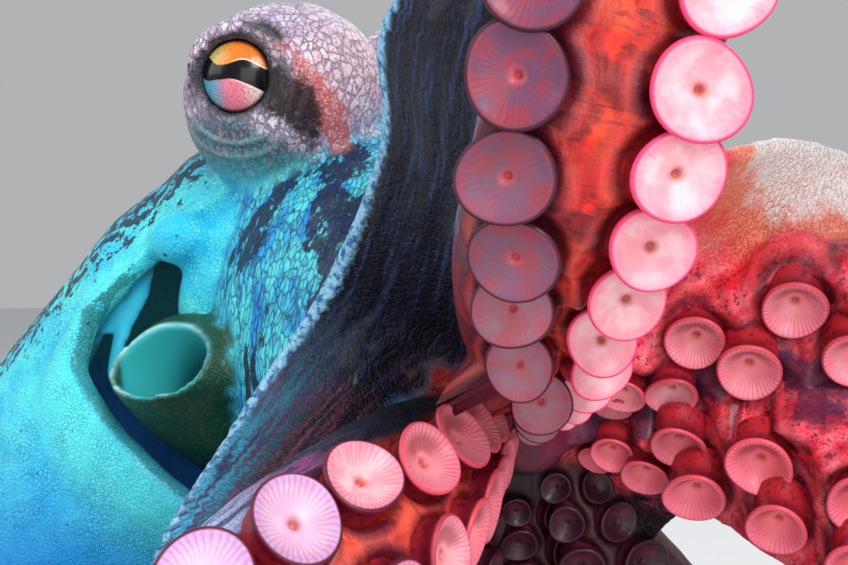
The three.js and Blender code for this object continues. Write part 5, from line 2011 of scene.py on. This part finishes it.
@dataclass
class SuckerRows:
    """The suckers of one arm, as one joined mesh.

    A sucker is a profile turned about its own normal: a small hole, a shallow bowl, a grooved edge, a soft lip, a
    waist and a foot sunk in the arm. Near the viewpoint the profile is carried round in fine steps, elsewhere in
    a few.
    """

    arm: Arm
    placement: Placement
    viewpoint: Viewpoint
    profile: tuple = (
        (0.00, 0.60, 0.00), (0.05, 0.61, 0.05), (0.075, 0.66, 0.085), (0.10, 0.73, 0.12), (0.15, 0.775, 0.16),
        (0.28, 0.80, 0.28), (0.46, 0.83, 0.46), (0.64, 0.875, 0.64), (0.78, 0.93, 0.78), (0.87, 0.975, 0.87),
        (0.93, 1.00, 0.93), (0.975, 1.00, 0.97), (1.01, 0.975, 1.00), (1.03, 0.93, 1.03), (1.02, 0.87, 1.06),
        (0.97, 0.77, 1.10), (0.90, 0.62, 1.15), (0.86, 0.45, 1.20), (0.86, 0.22, 1.27), (0.93, -0.05, 1.34),
        (0.98, -0.40, 1.42),
    )
    coarse: tuple = (0, 3, 7, 11, 13, 16, 20)

    def build(self, material: Material) -> bpy.types.Object:
        """Makes the mesh with its disc UV map and marks, and the object."""
        suckers = self.arm.suckers()
        close = self.viewpoint.closeness(suckers.seat) > 0.5
        near = close & (suckers.radius > 1.2)
        fine = self._batch(suckers, near, 40, range(len(self.profile)))
        batches = [batch for batch in (fine, self._batch(suckers, ~near, 10, self.coarse)) if batch]
        shell = Shell.joined([shell for shell, _, _ in batches])
        obj = self.placement.piece(f"suckers_{self.arm.name}", shell, material)
        self._paint(obj.data, np.vstack([uv for _, uv, _ in batches]), np.vstack([looks for _, _, looks in batches]))
        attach(obj, "root")
        LOG.info("%s: %d suckers, %d near", obj.name, len(suckers.radius), near.sum())
        return obj

    def _batch(self, suckers: Suckers, chosen: Array, sides: int, rows: Iterable[int]) -> tuple | None:
        """All the chosen suckers at one fineness, as whole arrays.

        Args:
            suckers: the arm's suckers.
            chosen: which of them.
            sides: steps round each.
            rows: which rows of the profile.

        Returns:
            The shell, each point's turn and spread, and each point's tone, which carries painted light and shade, and
            coral; or None if none is chosen.
        """
        count = int(chosen.sum())
        if not count:
            return None
        rng = np.random.default_rng(int(self.arm.name[1]) * 7 + (self.arm.name[0] == "r") + sides)
        table = np.array(self.profile)[list(rows)]
        turn = np.arange(sides + 1) / sides
        normal = unit(suckers.normal[chosen] + rng.normal(0, 0.05, (count, 3)))
        across = unit(np.cross(normal, suckers.onward[chosen]))
        other = np.cross(normal, across)
        radius = suckers.radius[chosen]
        inward = (1 - smooth(table[:, 0], 0.30, 0.93)) * (table[:, 2] < 1)
        heights = table[None, :, 1] - self.bowls(suckers)[chosen][:, None] * inward
        wobble = 1 + 0.045 * np.sin(2 * np.pi * (turn[None] * 2 + rng.uniform(0, 1, (count, 1))))
        wobble = wobble + 0.02 * np.sin(2 * np.pi * (turn[None] * 3 + rng.uniform(0, 1, (count, 1))))
        size = radius[:, None, None] * table[None, :, 0, None] * wobble[:, None]
        angle = 2 * np.pi * turn
        around = across[:, None] * np.cos(angle)[None, :, None] + other[:, None] * np.sin(angle)[None, :, None]
        rings = (
            suckers.seat[chosen][:, None, None]
            + normal[:, None, None] * (radius[:, None] * heights)[..., None, None]
            + size[..., None] * around[:, None]
        )
        rings[..., 2] = np.maximum(rings[..., 2], 0.05)
        levels = len(table)
        ring, side = np.meshgrid(np.arange(levels - 1), np.arange(sides), indexing="ij")
        a = ring * (sides + 1) + side
        quads = np.stack([a, a + 1, a + sides + 2, a + sides + 1], axis=-1).reshape(-1, 4)[:, ::-1]
        starts = np.arange(count) * levels * (sides + 1)
        quads = (quads[None] + starts[:, None, None]).reshape(-1, 4)
        shell = Shell(rings.reshape(-1, 3), quads, np.zeros((0, 3), int))
        uv = np.stack(np.meshgrid(table[:, 2], turn, indexing="ij")[::-1], axis=-1)
        uv = np.broadcast_to(uv, (count, levels, sides + 1, 2)).reshape(-1, 2)
        looks = np.stack([self.tones_and_painted_light(suckers), self.corals(suckers)], axis=1)[chosen]
        looks = np.repeat(looks + rng.normal(0, 0.03, looks.shape), levels * (sides + 1), axis=0)
        upper = np.broadcast_to(smooth(around[:, None, :, 2], 0.0, 0.7), (count, levels, sides + 1))
        return shell, uv, np.column_stack([looks, upper.ravel()])

    def bowls(self, suckers: Suckers) -> Array:
        """How deeply each disc is hollowed, as a share of its radius: deepest on the left arms."""
        return np.full(len(suckers.row), {"l1": 0.34, "l2": 0.40, "r2": 0.10, "r1": 0.0}.get(self.arm.name, 0.2))

    def tones_and_painted_light(self, suckers: Suckers) -> Array:
        """From dark purple at 0 to pale pink at 1: painted shade on the first arm's left row and beside the mouth, and
        painted light above 1 on the first arm's right row.
        """
        name, along = self.arm.name, suckers.distance
        if name == "r1":
            # The first arm's right row gets painted light, its left row painted shade.
            return np.where(suckers.row > 0, 1.1, mix(0.34, 0.0, smooth(along, 20, 110)))
        if name in ("l3", "l4", "r3", "r4"):
            # Painted shade beside the mouth, fading out along the arm.
            return mix(-0.6, 0.7, smooth(along, 60, 150))
        return np.full(len(suckers.row), {"r2": 0.86, "l1": 0.94, "l2": 0.88}[name])

    def corals(self, suckers: Suckers) -> Array:
        """From lavender at -1 over pale pink at 0 to coral red at 1."""
        name, along = self.arm.name, suckers.distance
        if name == "r2":
            return mix(0.7, -0.9, smooth(along, 48, 80))
        return np.full(len(suckers.row), {"r1": 0.1, "l1": 0.50, "l2": 0.92}.get(name, 0.3))

    @staticmethod
    def _paint(mesh: bpy.types.Mesh, uv: Array, looks: Array) -> None:
        """Stores the disc map for each corner, and the tone with its painted light and shade, the coral and the upper
        side for each vertex.
        """
        corners = np.empty(len(mesh.loops), np.int32)
        mesh.loops.foreach_get("vertex_index", corners)
        layer = mesh.uv_layers.new(name="disc")
        layer.data.foreach_set("uv", uv[corners].astype(np.float32).ravel())
        set_attribute(mesh, "warm", looks[:, 0])
        set_attribute(mesh, "coral", looks[:, 1])
        set_attribute(mesh, "upper", looks[:, 2])


# ------------------------------------------------------------------ the studio


@dataclass
class Studio:
    """A pale floor and large soft lamps."""

    placement: Placement
    floor_side: float = 12.0

    def build(self) -> None:
        """Adds the floor, the lamps and the surrounding light."""
        half = self.floor_side / 2
        mesh = bpy.data.meshes.new("floor")
        corners = [(-half, -half, 0.0), (half, -half, 0.0), (half, half, 0.0), (-half, half, 0.0)]
        mesh.from_pydata(corners, [], [(0, 1, 2, 3)])
        floor = Placement.object_of(mesh, "floor", FloorFinish().build())
        floor.location.z = -0.0002
        self._lamp("key", (1.15, -0.7, 1.1), 0.7, 22.0)
        self._lamp("fill", (-1.0, -1.0, 0.9), 1.1, 9.0)
        self._lamp("back", (-0.3, 1.2, 1.1), 1.0, 7.0)
        self._lamp("front", (0.85, -1.1, 0.28), 0.9, 6.0)
        world = bpy.data.worlds.new("studio")
        world.use_nodes = True
        world.node_tree.nodes["Background"].inputs[0].default_value = (0.80, 0.82, 0.84, 1.0)
        world.node_tree.nodes["Background"].inputs[1].default_value = 0.55
        bpy.context.scene.world = world
        bpy.context.scene.view_settings.view_transform = "Standard"

    @staticmethod
    def _lamp(name: str, place: Vec, size: float, power: float) -> None:
        """Adds a square lamp that faces the animal."""
        data = bpy.data.lights.new(name, "AREA")
        data.size, data.energy = size, power
        lamp = bpy.data.objects.new(name, data)
        lamp.location = place
        aim = unit(np.array([0.0, 0.0, 0.1]) - np.array(place))
        lamp.rotation_euler = (math.acos(-aim[2]), 0.0, math.atan2(-aim[0], aim[1]))
        bpy.context.scene.collection.objects.link(lamp)


def main() -> None:
    """Builds the whole animal and its studio."""
    logging.basicConfig(level=logging.INFO, format="%(name)s: %(message)s")
    placement, viewpoint = Placement(), Viewpoint()
    viewpoint.build(placement)
    Studio(placement).build()
    Skin(placement, viewpoint).build()
    sucker_skin = SuckerFinish().build()
    for arm in ARMS.values():
        SuckerRows(arm, placement, viewpoint).build(sucker_skin)
    for side, eye in EYES.items():
        ball_object = placement.piece(f"eyeball_{side}", eye.ball_shell(), EyeFinish().build(eye, placement))
        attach(ball_object, "root")
        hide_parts(f"eye_{side}")
        LOG.info("eyeball_%s", side)


if __name__ == "__main__":
    main()
